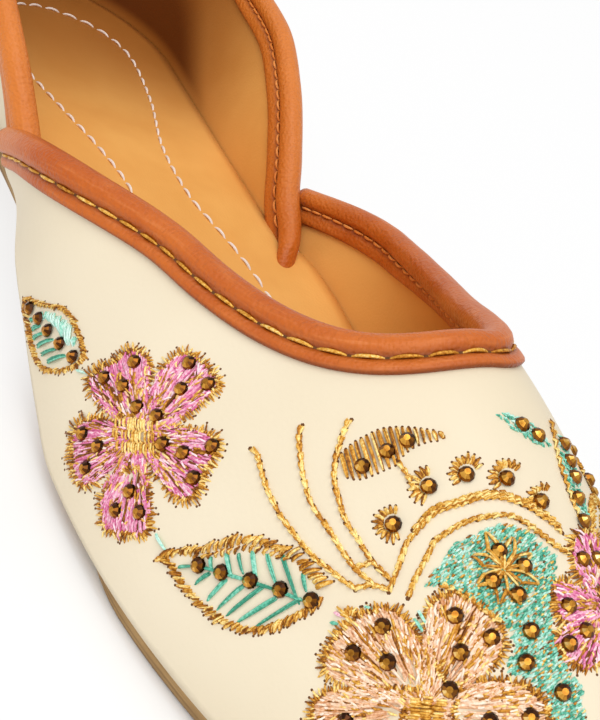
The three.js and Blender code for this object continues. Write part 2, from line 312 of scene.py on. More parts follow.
def new_material(name, **constants):
    material = bpy.data.materials.new(name)
    material.use_nodes = True
    shader = material.node_tree.nodes["Principled BSDF"]
    for key, value in constants.items():
        shader.inputs[key.replace("_", " ")].default_value = value
    shade = Shade(material.node_tree)
    place = shade.node("ShaderNodeTexCoord", None, None, 3)

    def link(**sockets):
        for key, value in sockets.items():
            material.node_tree.links.new(value.socket, shader.inputs[key.replace("_", " ")])

    return material, shade, place, link


EDGE_LEVELS = (0.72, 0.30)


def section_plate(name, stations, top, bottom, margin_top, margin_edge, margin_bottom, across=12):
    """Closed plate whose cross sections are rings round its two edges."""
    def edge(x, side, margin):
        normal = outward(x, side, np.zeros_like(x))
        normal[..., 2] = 0
        return last(x, side, np.zeros_like(x)) + unit(normal) * margin(x)[..., None]

    def row(margin, height):
        left, right = edge(stations, LATERAL, margin), edge(stations, MEDIAL, margin)
        tip = (stations <= 0) | (stations >= LENGTH)
        middle = (left + right) / 2
        left[tip], right[tip] = middle[tip], middle[tip]
        share = np.linspace(0, 1, across + 1)[None, :, None]
        points = left[:, None] * (1 - share) + right[:, None] * share
        points[..., 2] = height(stations, share[..., 0])
        return points

    def between(level):
        return lambda x, s: level * top(x, s) + (1 - level) * bottom(x, s)

    over, under = row(margin_top, top), row(margin_bottom, bottom)
    upper, lower = (row(margin_edge, between(level)) for level in EDGE_LEVELS)
    ring = np.concatenate([over, upper[:, -1:], lower[:, -1:], under[:, ::-1],
                           lower[:, :1], upper[:, :1], over[:, :1]], 1)
    rows, columns = ring.shape[:2]
    return add_piece(name, ring.reshape(-1, 3), grid_faces(rows, columns), weld=WELD)


HEEL_END, BREAST, WAIST_BLEND = 60.0, 2.5, 34.0
BALL_START, BALL_END = 148.0, 190.0
WING_X, WING_LEAD = 88.9, 50.0
LAP_FADES, WAIST_FADES = (105.0, 135.0), (164.0, 186.0)
TOP_BEVEL, FLOOR_BEVEL = 0.15, 0.5


def sole_margin(x):
    """How far the sole's edge lies outside the last, less than nothing at the waist."""
    behind = LAP * (2 * smooth(x, WING_LEAD, WING_X) - 1)
    waist = smooth(x, HEEL_END, WING_X) * (1 - smooth(x, *WAIST_FADES))
    return behind - LAP * smooth(x, *LAP_FADES) - SOLE_INSET - WAIST_INSET * waist


def sole_bottom(x, share):
    foot = feather_height(x)
    waist = (foot - SOLE) * smooth(BALL_START - x, 0, WAIST_BLEND) * np.clip((x - HEEL_END) / BREAST, 0, 1)
    spring = foot - feather_height(np.full_like(x, BALL_END))
    height = np.where(x > BALL_END, spring, waist)
    height[(x <= HEEL_END) | ((x >= BALL_START) & (x <= BALL_END))] = 0
    return height[:, None] + 0 * share


def sole_top(x, share):
    return (feather_height(x) - GAP / 2)[:, None] + 0 * share


stations = LENGTH * (1 - np.cos(np.linspace(0, math.pi, STATIONS))) / 2
sole_stations = np.sort(np.append(stations, [HEEL_END, HEEL_END + BREAST, BALL_START, BALL_END]))
outsole = section_plate("outsole_leather", sole_stations, sole_top, sole_bottom,
                        lambda x: sole_margin(x) - TOP_BEVEL, sole_margin,
                        lambda x: sole_margin(x) - FLOOR_BEVEL)

sole_leather, shade, place, link = new_material("sole_leather", Roughness=0.72)
layers = shade.node("ShaderNodeMapping", None, {"Vector": place, "Scale": (40.0, 40.0, 2600.0)})
fibre = shade.noise(layers, 1.0, 4.0)
stain = shade.noise(place, 55.0, 4.0)
edge_tone = stain.step(0.35, 0.7).mix(colour(154, 118, 68), colour(180, 146, 96))
link(Base_Color=(fibre.step(0.35, 0.65) * 0.65).mix(edge_tone, colour(104, 72, 34)),
     Normal=shade.bump(fibre + 0.4 * shade.noise(place, 1500.0), 0.35, 0.0003))
outsole.data.materials.append(sole_leather)
belongs(outsole, "sole_leather", "outsole")

# Insole
# A thin board covered in tan lining leather, glued in over the sole and held by one loop of white stitches
# that runs round the heel and forward on both sides.
INSOLE, INSOLE_PLAY, INSOLE_BEVEL = 1.2, 0.35, 0.3
RIM_LIFT, RIM_CURVE = 0.35, 6
WING_TUCK, TUCK_CURVE, TUCK_FADES = 2.4, 2.5, (100.0, 122.0)
QUARTER_FRONT = {LATERAL: 106.0, MEDIAL: 110.0}
WIDENS_BEFORE, WIDENS_AFTER = 7.0, 2.0


def wing_face(x, low):
    """How far the vamp stands off the last, less at the foot of its wings."""
    tuck = WING_TUCK * (1 - smooth(x, *TUCK_FADES)) * low ** TUCK_CURVE
    return LAP * (1 - smooth(x, *LAP_FADES)) - tuck


def insole_margin(x):
    end = QUARTER_FRONT[MEDIAL]
    front = smooth(x, end - WIDENS_BEFORE, end + WIDENS_AFTER)
    return wing_face(x, 1.0) * front - LAP * (1 - front) - WALL - INSOLE_PLAY


def insole_top(x, share):
    dish = (2 * np.asarray(share) - 1) ** RIM_CURVE
    return (feather_height(x) + INSOLE)[:, None] + RIM_LIFT * dish


def insole_bottom(x, share):
    return feather_height(x)[:, None] + 0 * share


insole = section_plate("insole_cover", stations, insole_top, insole_bottom, insole_margin, insole_margin,
                       lambda x: insole_margin(x) - INSOLE_BEVEL, across=24)

lining_leather, shade, place, link = new_material("lining_leather", Roughness=0.62, Specular_IOR_Level=0.2)
cloud = shade.noise(place, 28.0, 4.0)
pores = shade.cells(place, 1900.0)
nap = shade.noise(place, 2600.0, 3.0)
tone = cloud.step(0.3, 0.72).mix(colour(224, 158, 78), colour(240, 180, 98))
along = shade.node("ShaderNodeSeparateXYZ", None, {0: place})
up = shade.node("ShaderNodeSeparateXYZ", None, {0: place}, 2)
# Painted shade darkens the lining under the heel, and a painted shadow darkens the walls round the heel; the
# walls round the toes are darker too; by metres along and up the shoe
painted_heel_shade = along.step(-0.040, -0.098) * 0.8
painted_heel_shadow = (along + up * 1.55).step(-0.046, -0.068) * up.step(0.0104, 0.0135) * 0.8
toe_wall = along.step(0.0, 0.045) * up.step(0.0125, 0.017) * 0.4
walls = toe_wall.mix(painted_heel_shade.mix(tone, colour(142, 76, 14)), colour(150, 78, 18))
link(Base_Color=painted_heel_shadow.mix(walls, colour(84, 32, 0)),
     Normal=shade.bump(nap * 0.6 + pores * 0.5, 0.22, 0.0002))
insole.data.materials.append(lining_leather)
belongs(insole, "lining_leather", "insole")

# Quarter
# The back of the upper: cream leather lined in tan, its sides cut down to two points that lie inside the
# vamp's wings and are caught under the insole.
QUARTER_EDGE = [
    dict(at=0.000, lateral=53.0, medial=53.0),
    dict(at=0.090, lateral=41.0, medial=42.5),
    dict(at=0.185, lateral=34.6, medial=37.3),
    dict(at=0.250, lateral=32.0, medial=36.1),
    dict(at=0.315, lateral=25.6, medial=31.7),
    dict(at=0.380, lateral=16.2, medial=23.9),
    dict(at=0.410, lateral=13.8, medial=18.8),
    dict(at=0.445, lateral=13.0, medial=13.0),
]
quarter_height = {LATERAL: track(QUARTER_EDGE, "lateral"), MEDIAL: track(QUARTER_EDGE, "medial")}


def angle_at(x, height):
    """Angle at which the last reaches a height, found by halving."""
    x = np.asarray(x, float)
    low, high = np.zeros_like(x), np.full_like(x, math.pi / 2)
    for _ in range(30):
        middle = (low + high) / 2
        under = last(x, MEDIAL, middle)[..., 2] < height
        low, high = np.where(under, middle, low), np.where(under, high, middle)
    return low


def quarter_edge(side, t):
    x = QUARTER_FRONT[side] * (1 - np.cos(math.pi * np.asarray(t))) / 2
    return x, angle_at(x, quarter_height[side](x))


TIP_MARGIN = 0.2


def upper_skin(name, edges, face_at, up_steps):
    """Outer skin of an upper piece, between the feather line and its edge on both sides."""
    points, faces, count = [], [], 0
    share = np.linspace(0, 1, up_steps + 1)[None, :]
    for side in (LATERAL, MEDIAL):
        x, angle = edges(side)
        angles = angle[:, None] * share
        xs = np.broadcast_to(x[:, None], angles.shape)
        sides = np.full(xs.shape, side)
        normal = outward(np.clip(xs, TIP_MARGIN, LENGTH - TIP_MARGIN), sides, angles)
        normal[..., 1] *= np.clip(xs / TIP_MARGIN, 0, 1)
        grid = last(xs, side, angles) + normal * face_at(xs, sides, angles)[..., None]
        points.append(grid.reshape(-1, 3))
        faces += grid_faces(*xs.shape, flip=side == MEDIAL, start=count)
        count += xs.size
    return add_piece(name, np.concatenate(points), faces, weld=WELD)


def line_wall(piece, outer, inner):
    """Gives a skin its thickness, with the outer leather on its face and the lining behind."""
    wall = piece.modifiers.new("wall", "SOLIDIFY")
    wall.thickness, wall.offset = WALL / 1000, -1.0
    wall.use_even_offset, wall.use_quality_normals = False, True
    wall.material_offset, wall.material_offset_rim = 1, 0
    piece.data.materials.append(outer)
    piece.data.materials.append(inner)
    finish_mesh(piece)


cream_leather, shade, place, link = new_material("cream_leather", Roughness=0.5, Coat_Roughness=0.35)
drift = shade.noise(place, 22.0, 3.0)
pebble = shade.cells(place, 1300.0, "SMOOTH_F1")
fine = shade.noise(place, 3200.0, 3.0)
link(Base_Color=drift.step(0.25, 0.8).mix(colour(222, 207, 178), colour(229, 216, 190)),
     Roughness=0.44 + drift * 0.14,
     Normal=shade.bump(pebble * 0.7 + fine * 0.35, 0.16, 0.0002))

quarter = upper_skin("quarter_leather", lambda side: quarter_edge(side, np.linspace(0, 1, 150)),
                     lambda x, side, angle: np.full(x.shape, -LAP), up_steps=26)
line_wall(quarter, cream_leather, lining_leather)
belongs(quarter, "cream_leather", "quarter")

# Vamp
# The front of the upper, one piece of cream leather over a tan lining, lasted over the toe. Its two wings
# reach back over the quarter's points.
THROAT_X = 179.2
WING_CUT = 0.955
WING_EDGE = {
    LATERAL: dict(height=14.3, bow=(1.395, -1.135, -0.581)),
    MEDIAL: dict(height=14.7, bow=(0.640, 0.084, -0.066)),
}
UPRIGHT = math.pi / 2
THROAT_SECTION = (THROAT_X - HEEL_RAKE) * LENGTH / (LENGTH - HEEL_RAKE - TOE_RAKE)


def vamp_edge(side, s):
    """Top edge of the vamp, from the throat at 0 to the end of a wing at 1."""
    s = np.asarray(s, float)
    first, second, third = WING_EDGE[side]["bow"]
    fourth = 1 - first - second - third
    drop = s * (first + s * (second + s * (third + s * fourth)))
    low = angle_at(WING_X, WING_EDGE[side]["height"])
    return THROAT_SECTION + (WING_X - THROAT_SECTION) * s * s, UPRIGHT - (UPRIGHT - low) * drop


def vamp_face(x, side, angle):
    s = np.sqrt(np.clip((THROAT_SECTION - x) / (THROAT_SECTION - WING_X), 0, 1))
    top = np.where(np.asarray(side) > 0, vamp_edge(MEDIAL, s)[1], vamp_edge(LATERAL, s)[1])
    return wing_face(x, 1 - np.clip(angle / top, 0, 1))


def vamp_rows(side):
    x, angle = vamp_edge(side, WING_CUT * np.linspace(1, 0, 110))
    front = THROAT_SECTION + (LENGTH - THROAT_SECTION) * np.sin(UPRIGHT * np.linspace(0, 1, 60)[1:])
    return np.append(x, front), np.append(angle, np.full(front.shape, UPRIGHT))


vamp = upper_skin("vamp_leather", vamp_rows, vamp_face, up_steps=44)
vamp_skin = BVHTree.FromPolygons([v.co.copy() for v in vamp.data.vertices],
                                 [tuple(p.vertices) for p in vamp.data.polygons])
line_wall(vamp, cream_leather, lining_leather)
belongs(vamp, "cream_leather", "vamp")

# Edge bindings
# A strip of polished tan leather folded over each cut edge of the upper and pinched to it by one row of
# stitches, so that it stands up as a roll at the fold and lies flat below the stitches.
# The dark column is painted shade in the stitch groove and along the cut edges.
STRIP = [
    dict(down=5.30, off=0.05, inner_down=5.30, inner_off=0.05, dark=0.9),
    dict(down=5.38, off=0.45, inner_down=5.38, inner_off=0.40, dark=0.9),
    dict(down=5.30, off=0.85, inner_down=5.30, inner_off=0.75, dark=0.6),
    dict(down=5.05, off=1.00, inner_down=5.05, inner_off=0.90, dark=0.2),
    dict(down=4.50, off=1.02, inner_down=4.30, inner_off=0.92, dark=0.0),
    dict(down=3.90, off=0.95, inner_down=3.40, inner_off=0.86, dark=0.1),
    dict(down=3.45, off=0.72, inner_down=2.85, inner_off=0.66, dark=0.5),
    dict(down=3.10, off=0.48, inner_down=2.50, inner_off=0.45, dark=1.0),
    dict(down=2.85, off=0.50, inner_down=2.25, inner_off=0.46, dark=1.0),
    dict(down=2.60, off=0.85, inner_down=2.00, inner_off=0.72, dark=0.6),
    dict(down=2.20, off=1.30, inner_down=1.65, inner_off=1.02, dark=0.2),
    dict(down=1.60, off=1.60, inner_down=1.15, inner_off=1.22, dark=0.0),
    dict(down=0.85, off=1.64, inner_down=0.55, inner_off=1.28, dark=0.0),
    dict(down=0.00, off=1.42, inner_down=-0.05, inner_off=1.15, dark=0.0),
    dict(down=-0.75, off=0.95, inner_down=-0.75, inner_off=0.80, dark=0.0),
    dict(down=-1.30, off=0.20, inner_down=-1.30, inner_off=0.15, dark=0.0),
    dict(down=-1.60, off=-0.55, inner_down=-1.60, inner_off=-0.55, dark=0.0),
]
STITCH_DOWN, INNER_STITCH_DOWN = 2.98, 2.38
STRIP_SLACK = 0.05
SLOT_DOWN, SLOT_OFF = (5.3, 4.0, 2.5, 1.0, 0.05), 0.03
FIRST_X = 0.02


def walk(x, side, angle, direction, distance):
    """Places reached by going over the last from other places, in a direction, for a distance."""
    steps = 4
    for _ in range(steps):
        along, up = along_last(x, side, angle), up_last(x, side, angle)
        skew = (along * up).sum(-1)
        along_square, up_square = (along * along).sum(-1), (up * up).sum(-1)
        area = along_square * up_square - skew * skew
        ahead, above = (along * direction).sum(-1), (up * direction).sum(-1)
        x = x + (ahead * up_square - above * skew) / area * distance / steps
        angle = angle + (above * along_square - ahead * skew) / area * distance / steps
        x = np.clip(x, FIRST_X, LENGTH)
    return x, angle


class Edge:
    """A cut edge of the upper, with the open side on its left, and points measured from it."""

    def __init__(self, x, side, angle, face_at, sink=0.0):
        self.x, self.side, self.angle, self.face_at = x, side, angle, face_at
        self.sink = np.array([0.0, 0.0, 1.0]) * np.broadcast_to(sink, x.shape)[:, None]
        self.points = last(x, side, angle)
        tangent = np.gradient(self.points, axis=0)
        self.away = unit(np.cross(outward(x, side, angle), tangent))
        stretch = np.linalg.norm(np.diff(self.points, axis=0), axis=1)
        self.run = np.append(0.0, np.cumsum(stretch))

    def at(self, down, off, inside):
        """Points below the edge and off the upper's outer or inner face, along the whole edge."""
        down = np.broadcast_to(np.asarray(down, float), self.x.shape)
        off = np.broadcast_to(np.asarray(off, float), self.x.shape)
        x, angle = walk(self.x, self.side, self.angle, -self.away, np.maximum(down, 0))
        height = self.face_at(x, self.side, angle) + (-WALL - STRIP_SLACK - off if inside else off)
        points = last(x, self.side, angle) + outward(x, self.side, angle) * height[:, None]
        return points + self.away * np.maximum(-down, 0)[:, None] - self.sink


def vamp_binding_edge(steps):
    s = WING_CUT * np.linspace(1, 0, steps + 1)
    lateral, medial = vamp_edge(LATERAL, s), vamp_edge(MEDIAL, s[:-1][::-1])
    side = np.append(np.full(steps + 1, LATERAL), np.full(steps, MEDIAL))
    return Edge(np.append(lateral[0], medial[0]), side, np.append(lateral[1], medial[1]), vamp_face)


STRIP_TAIL, TAIL_CUT = 115.3, 12.2
TAIL_LEAN, LEANS = 6.5, (104.0, 119.0)
TAIL_SINK, SINKS = 6.0, (109.0, 116.0)
tail_end = dict(at=STRIP_TAIL / LENGTH, medial=QUARTER_EDGE[-1]["medial"])
tail_height = track(QUARTER_EDGE[:-1] + [tail_end], "medial")


def quarter_binding_edge(steps):
    """Edge of the quarter. Its strip's inner end runs on a little and leans in under the insole."""
    t = np.linspace(1, 0, steps + 1)
    medial = STRIP_TAIL * (1 - np.cos(math.pi * t)) / 2
    lateral = quarter_edge(LATERAL, t[:-1][::-1])
    side = np.append(np.full(steps + 1, MEDIAL), np.full(steps, LATERAL))
    x = np.append(medial, lateral[0])
    angle = np.append(angle_at(medial, tail_height(medial)), lateral[1])

    def face_at(x, side, _):
        return -LAP - TAIL_LEAN * smooth(x, *LEANS) * (np.asarray(side) > 0)

    return Edge(x, side, angle, face_at, TAIL_SINK * smooth(x, *SINKS) * (side > 0))


def strip_mesh(name, edge):
    """Folded strip as a closed shell, with a UV map that runs along it in centimetres."""
    def side_rows(inside):
        down, off = ("inner_down", "inner_off") if inside else ("down", "off")
        return [edge.at(row[down], row[off], inside) for row in STRIP]

    def slot_rows(inside):
        return [edge.at(down, SLOT_OFF, inside) for down in SLOT_DOWN]

    skin = side_rows(True) + side_rows(False)[::-1]
    back = slot_rows(False) + slot_rows(True)[::-1]
    ring = np.stack(skin + back, 1)
    rows, columns = ring.shape[:2]
    points = ring.reshape(-1, 3)
    faces = []
    for i in range(rows - 1):
        for j in range(columns):
            k = (j + 1) % columns
            faces.append((i * columns + j, i * columns + k, (i + 1) * columns + k, (i + 1) * columns + j))
    half = len(skin)
    for row, flip in ((0, False), (rows - 1, True)):
        start = row * columns
        lower = list(range(start + half, start + columns))[::-1]
        upper = list(range(start, start + half))
        for j in range(half - 1):
            near = lower[min(j * len(lower) // half, len(lower) - 1)]
            far = lower[min((j + 1) * len(lower) // half, len(lower) - 1)]
            below = [near, far] if near != far else [near]
            face = [upper[j], *below, upper[j + 1]]
            faces.append(face[::-1] if flip else face)
    piece = add_piece(name, points, faces)
    girth = np.append(0, np.cumsum(np.linalg.norm(np.diff(ring[rows // 2], axis=0), axis=1)))
    dark = [row["dark"] for row in STRIP]
    dark = (dark + dark[::-1] + [0.0] * len(back)) * rows
    piece.data.attributes.new("dark", "FLOAT", "POINT").data.foreach_set("value", dark)
    uv = piece.data.uv_layers.new(name="strip").data
    for loop in piece.data.loops:
        i, j = divmod(loop.vertex_index, columns)
        uv[loop.index].uv = (edge.run[i] / 10, girth[j] / 10)
    return piece


def cut_level(piece, height):
    """Takes away what lies below a height and closes the cut."""
    bm = bmesh.new()
    bm.from_mesh(piece.data)
    cut = bmesh.ops.bisect_plane(bm, geom=bm.verts[:] + bm.edges[:] + bm.faces[:], dist=1e-6,
                                 plane_co=(0, 0, height / 1000), plane_no=(0, 0, 1), clear_inner=True)
    rim = [part for part in cut["geom_cut"] if isinstance(part, bmesh.types.BMEdge)]
    bmesh.ops.holes_fill(bm, edges=rim)
    bm.to_mesh(piece.data)
    bm.free()


tan_leather, shade, place, link = new_material("tan_leather", Specular_IOR_Level=0.3, Coat_Weight=0.1,
                                               Coat_Roughness=0.24)
strip_map = shade.node("ShaderNodeTexCoord", None, None, 2)
lengthwise = shade.node("ShaderNodeMapping", None, {"Vector": strip_map, "Scale": (1.2, 14.0, 1.0)})
crosswise = shade.node("ShaderNodeMapping", None, {"Vector": strip_map, "Scale": (30.0, 4.0, 1.0)})
streaks = shade.noise(lengthwise, 1.0, 4.0)
blotch = shade.noise(place, 70.0, 4.0)
grain = shade.cells(place, 1700.0, "SMOOTH_F1")
wrinkle = shade.noise(crosswise, 1.0, 3.0)
hide = blotch.step(0.3, 0.75).mix(colour(180, 82, 10), colour(200, 103, 26))
# Lighter streaks along the strip are painted highlights
streak_highlight = (streaks.step(0.45, 0.85) * 0.5).mix(hide, colour(222, 134, 72))
# Painted shade in the stitch groove and along the strip's cut edges, from its dark attribute
groove_shade = shade.node("ShaderNodeAttribute", {"attribute_name": "dark"}, None, 2)
along = shade.node("ShaderNodeSeparateXYZ", None, {0: place})
# Paler from the arch back to the heel
paler = (along.step(-0.005, -0.035) * 0.55).mix(streak_highlight, colour(222, 132, 50))
link(Base_Color=(groove_shade * 0.8).mix(paler, colour(98, 36, 4)),
     Roughness=0.34 + blotch * 0.16,
     Normal=shade.bump(grain * 0.7 + wrinkle * 0.4, 0.8, 0.0004))

vamp_edging = vamp_binding_edge(170)
vamp_binding = strip_mesh("vamp_edge_strip", vamp_edging)
vamp_binding.data.materials.append(tan_leather)
belongs(vamp_binding, "tan_leather", "vamp_binding")
quarter_edging = quarter_binding_edge(150)
quarter_binding = strip_mesh("quarter_edge_strip", quarter_edging)
cut_level(quarter_binding, TAIL_CUT)
quarter_binding.data.materials.append(tan_leather)
belongs(quarter_binding, "tan_leather", "quarter_binding")

# Topstitching
# One row of stitches through each strip, gold outside and tan inside, about 3 to 4.4 mm a stitch and pulled
# into the leather at every needle hole. The insole's loop is sewn with the same stitch in white.


def node_tree(name, inputs):
    """Empty Geometry Nodes tree, its inputs' identifiers for a modifier, and the inputs themselves."""
    tree = bpy.data.node_groups.new(name, "GeometryNodeTree")
    keys = {}
    for label, kind in inputs.items():
        socket = tree.interface.new_socket(label, in_out="INPUT", socket_type="NodeSocket" + kind)
        keys[label] = socket.identifier
    tree.interface.new_socket("Made", in_out="OUTPUT", socket_type="NodeSocketGeometry")
    start = tree.nodes.new("NodeGroupInput")
    return tree, keys, [Shade(tree, socket) for socket in start.outputs[:len(inputs)]]


def end_tree(tree, geometry, finish):
    work = Shade(tree)
    real = work.node("GeometryNodeRealizeInstances", None, {0: geometry})
    made = work.node("GeometryNodeSetMaterial", None, {"Geometry": real, "Material": finish})
    tree.links.new(made.socket, tree.nodes.new("NodeGroupOutput").inputs[0])


def grow(name, mesh, tree, keys, values, slot):
    """Piece that a Geometry Nodes tree makes from a mesh of lines or points."""
    piece = bpy.data.objects.new(name, mesh)
    bpy.context.scene.collection.objects.link(piece)
    modifier = piece.modifiers.new(name, "NODES")
    modifier.node_group = tree
    for key, value in values.items():
        modifier[keys[key]] = value
    finish_mesh(piece)
    belongs(piece, slot)


thread_tree, thread_keys, inputs = node_tree(
    "sewn_thread", {"Stitches": "Geometry", "Radius": "Float", "Sides": "Int", "Finish": "Material"})
stitches, radius, sides, finish = inputs
work = Shade(thread_tree)
profile = work.node("GeometryNodeCurvePrimitiveCircle", None, {"Resolution": sides, "Radius": radius})
width = work.node("GeometryNodeInputNamedAttribute", {"data_type": "FLOAT"}, {"Name": "width"})
lines = work.node("GeometryNodeMeshToCurve", None, {0: stitches})
tubes = work.node("GeometryNodeCurveToMesh", None,
                  {"Curve": lines, "Profile Curve": profile, "Scale": width, "Fill Caps": True})
end_tree(thread_tree, work.node("GeometryNodeSetShadeSmooth", None, {0: tubes}), finish)
TAPER_START, TAPER_CURVE = 0.2, 0.35


class Thread:
    """Stitches of one thread, gathered as lines of points in the last's millimetres."""

    def __init__(self, name, radius):
        self.name, self.radius = name, radius
        self.points, self.edges, self.width, self.tint = [], [], [], []

    def lay(self, points, width, tint):
        start = len(self.points)
        taper = np.sin(np.linspace(TAPER_START, math.pi - TAPER_START, len(points))) ** TAPER_CURVE
        self.points += list(points)
        self.width += list(width * taper)
        self.tint += [tint] * len(points)
        self.edges += [(start + i, start + i + 1) for i in range(len(points) - 1)]

    def piece(self, finish, slot, sides):
        mesh = bpy.data.meshes.new(self.name)
        mesh.from_pydata(to_frame(self.points).tolist(), self.edges, [])
        for name, values in (("width", self.width), ("tint", self.tint)):
            mesh.attributes.new(name, "FLOAT", "POINT").data.foreach_set("value", values)
        values = {"Radius": self.radius / 1000, "Sides": sides, "Finish": finish}
        grow(self.name, mesh, thread_tree, thread_keys, values, slot)


def thread_finish(name, tones, metal, rough):
    """Thread whose stitches differ in tone, with painted highlights and dark flecks along its twist."""
    material, shade, place, link = new_material(name, Metallic=metal, Specular_IOR_Level=0.35)
    tint = shade.node("ShaderNodeAttribute", {"attribute_name": "tint"}, None, 2)
    twist = shade.noise(place, 2600.0, 2.0)
    # The twist noise bumps the thread and also paints highlights and dark flecks on it
    tone = tint + (twist - 0.5) * 1.3
    stops = [(k / (len(tones) - 1), rgb(*t)) for k, t in enumerate(tones)]
    link(Base_Color=shade.node("ShaderNodeValToRGB", {"stops": stops}, {0: tone}),
         Roughness=rough + (twist - 0.5) * 0.3,
         Normal=shade.bump(twist, 0.35, 0.0002))
    return material


gold_tones = [(116, 62, 4), (186, 118, 24), (226, 170, 66), (255, 228, 148)]
white_tones = [(226, 206, 190), (244, 232, 222)]
tan_tones = [(196, 104, 26), (222, 132, 52), (240, 166, 92)]
gold_finish = thread_finish("gold_thread", gold_tones, metal=0.3, rough=0.4)
white_finish = thread_finish("white_thread", white_tones, metal=0.0, rough=0.6)
tan_finish = thread_finish("tan_thread", tan_tones, metal=0.0, rough=0.5)
gold_row, tan_row = Thread("edge_topstitch", radius=0.27), Thread("edge_underthread", radius=0.27)
white_row = Thread("insole_stitch", radius=0.29)
needle_holes = []
rng = np.random.default_rng(7)
STITCH_CURVE, HOLE_LIFT, EDGE_HOLE = 0.6, 0.15, 0.45
GROOVE, CREST, STITCH_SHARE = 0.35, 0.9, 0.88
END_MARGIN, ROW_FLOOR = 1.0, 14.5
VAMP_PITCH, VAMP_INNER_PITCH = 4.4, 3.2
QUARTER_PITCH, QUARTER_INNER_PITCH = 3.6, 2.8


def sew_row(thread, low, high, run, pitch, length, first, final, hole_size=0.0):
    """Stitches along a line, given as points in its groove and above it, with needle holes between them."""
    def at(line, where):
        return np.stack([np.interp(where, run, line[:, k]) for k in range(3)], -1)

    for start in np.arange(first, final - pitch, pitch):
        t = np.linspace(0, 1, 7)
        rise = np.sin(math.pi * t)[:, None] ** STITCH_CURVE
        where = start + length * t
        thread.lay(at(low, where) * (1 - rise) + at(high, where) * rise, 1.0, rng.uniform(0.35, 0.75))
        if hole_size:
            hole = np.array([start + (length + pitch) / 2])
            facing = unit(at(high, hole) - at(low, hole))
            needle_holes.append((at(low, hole)[0] + facing[0] * HOLE_LIFT, facing[0], hole_size))


for edge, thread, pitch, down, hole_size in (
        (vamp_edging, gold_row, VAMP_PITCH, STITCH_DOWN, EDGE_HOLE),
        (vamp_edging, tan_row, VAMP_INNER_PITCH, INNER_STITCH_DOWN, 0.0),
        (quarter_edging, gold_row, QUARTER_PITCH, STITCH_DOWN, EDGE_HOLE),
        (quarter_edging, tan_row, QUARTER_INNER_PITCH, INNER_STITCH_DOWN, 0.0)):
    inside = thread is tan_row
    low, high = edge.at(down, GROOVE, inside), edge.at(down, CREST, inside)
    runs = edge.run[low[:, 2] > ROW_FLOOR]
    sew_row(thread, low, high, edge.run, pitch, pitch * STITCH_SHARE, runs[0] + END_MARGIN,
            runs[-1] - END_MARGIN, hole_size)
gold_row.piece(gold_finish, "gold_thread", sides=8)
tan_row.piece(tan_finish, "gold_thread", sides=6)

INSOLE_LOOP = [
    dict(x=140.0, y=-14.0), dict(x=121.0, y=-11.0), dict(x=98.0, y=-8.3), dict(x=82.0, y=-9.6),
    dict(x=67.0, y=-12.3), dict(x=50.0, y=-15.2), dict(x=35.0, y=-16.0), dict(x=25.0, y=-12.0),
    dict(x=20.3, y=-4.5), dict(x=20.0, y=3.0), dict(x=24.3, y=11.8), dict(x=34.8, y=16.3),
    dict(x=54.2, y=13.7), dict(x=76.6, y=7.1), dict(x=93.4, y=5.1), dict(x=104.6, y=6.6),
    dict(x=121.3, y=11.5), dict(x=140.0, y=15.0),
]
LOOP_PITCH, LOOP_STITCH, LOOP_DIP, LOOP_RISE = 4.2, 3.4, 0.15, 0.3
UP = np.array([0.0, 0.0, 1.0])


def spline(chart, step, closed=False):
    """Evenly spaced places on a smooth curve through charted ones."""
    chart = np.array(chart, float)
    if closed:
        chart = np.vstack([chart[-1:], chart, chart[:2]])
    else:
        chart = np.vstack([2 * chart[0] - chart[1], chart, 2 * chart[-1] - chart[-2]])
    t = np.linspace(0, 1, 12, endpoint=False)[:, None]
    bends = [b + 0.5 * t * (c - a + t * (2 * a - 5 * b + 4 * c - d + t * (3 * b - a - 3 * c + d)))
             for a, b, c, d in zip(chart, chart[1:], chart[2:], chart[3:])]
    path = np.vstack(bends + [chart[-2:-1]])
    run = np.append(0, np.cumsum(np.hypot(*np.diff(path, axis=0).T)))
    at = np.linspace(0, run[-1], max(int(round(run[-1] / step)), 1) + 1)
    return np.stack([np.interp(at, run, path[:, k]) for k in (0, 1)], -1)


loop = spline([(row["x"], row["y"]) for row in INSOLE_LOOP], 1.0)
loop = np.column_stack([loop, np.zeros(len(loop))])
loop[:, 2] = feather_height(np.clip(loop[:, 0], 0, LENGTH)) + INSOLE
loop_run = np.append(0.0, np.cumsum(np.linalg.norm(np.diff(loop, axis=0), axis=1)))
sew_row(white_row, loop - UP * LOOP_DIP, loop + UP * LOOP_RISE, loop_run, LOOP_PITCH, LOOP_STITCH,
        END_MARGIN, loop_run[-1] - END_MARGIN)
white_row.piece(white_finish, "silk_thread", sides=6)

# Embroidery
# Flowers, leaves and stems sewn through the vamp's leather before it was lasted: silk in pink, peach and
# mint, edged with short stitches of gold. It is charted in the photo's pixels and laid on the vamp from
# where the camera stands, and the inner side of the shoe gets the same chart mirrored.
CAMERA_TURN, CAMERA_RISE, CAMERA_ROLL = 43.542, 30.092, 30.692
CAMERA_AIM, CAMERA_DISTANCE = np.array([141.088, 9.159, 12.105]), 228.238
PIXELS_PER_MM, PHOTO_MIDDLE, PHOTO_HEIGHT = 5.806, (300.0, 360.0), 720.0
turn, rise, roll = np.radians([CAMERA_TURN, CAMERA_RISE, CAMERA_ROLL])
back = np.array([math.cos(rise) * math.cos(turn), -math.cos(rise) * math.sin(turn), math.sin(rise)])
level = unit(np.cross(-back, [0, 0, 1]))
upright = np.cross(level, -back)
right = math.cos(roll) * level + math.sin(roll) * upright
upward = -math.sin(roll) * level + math.cos(roll) * upright
eye = CAMERA_AIM + back * CAMERA_DISTANCE
focal = PIXELS_PER_MM * CAMERA_DISTANCE


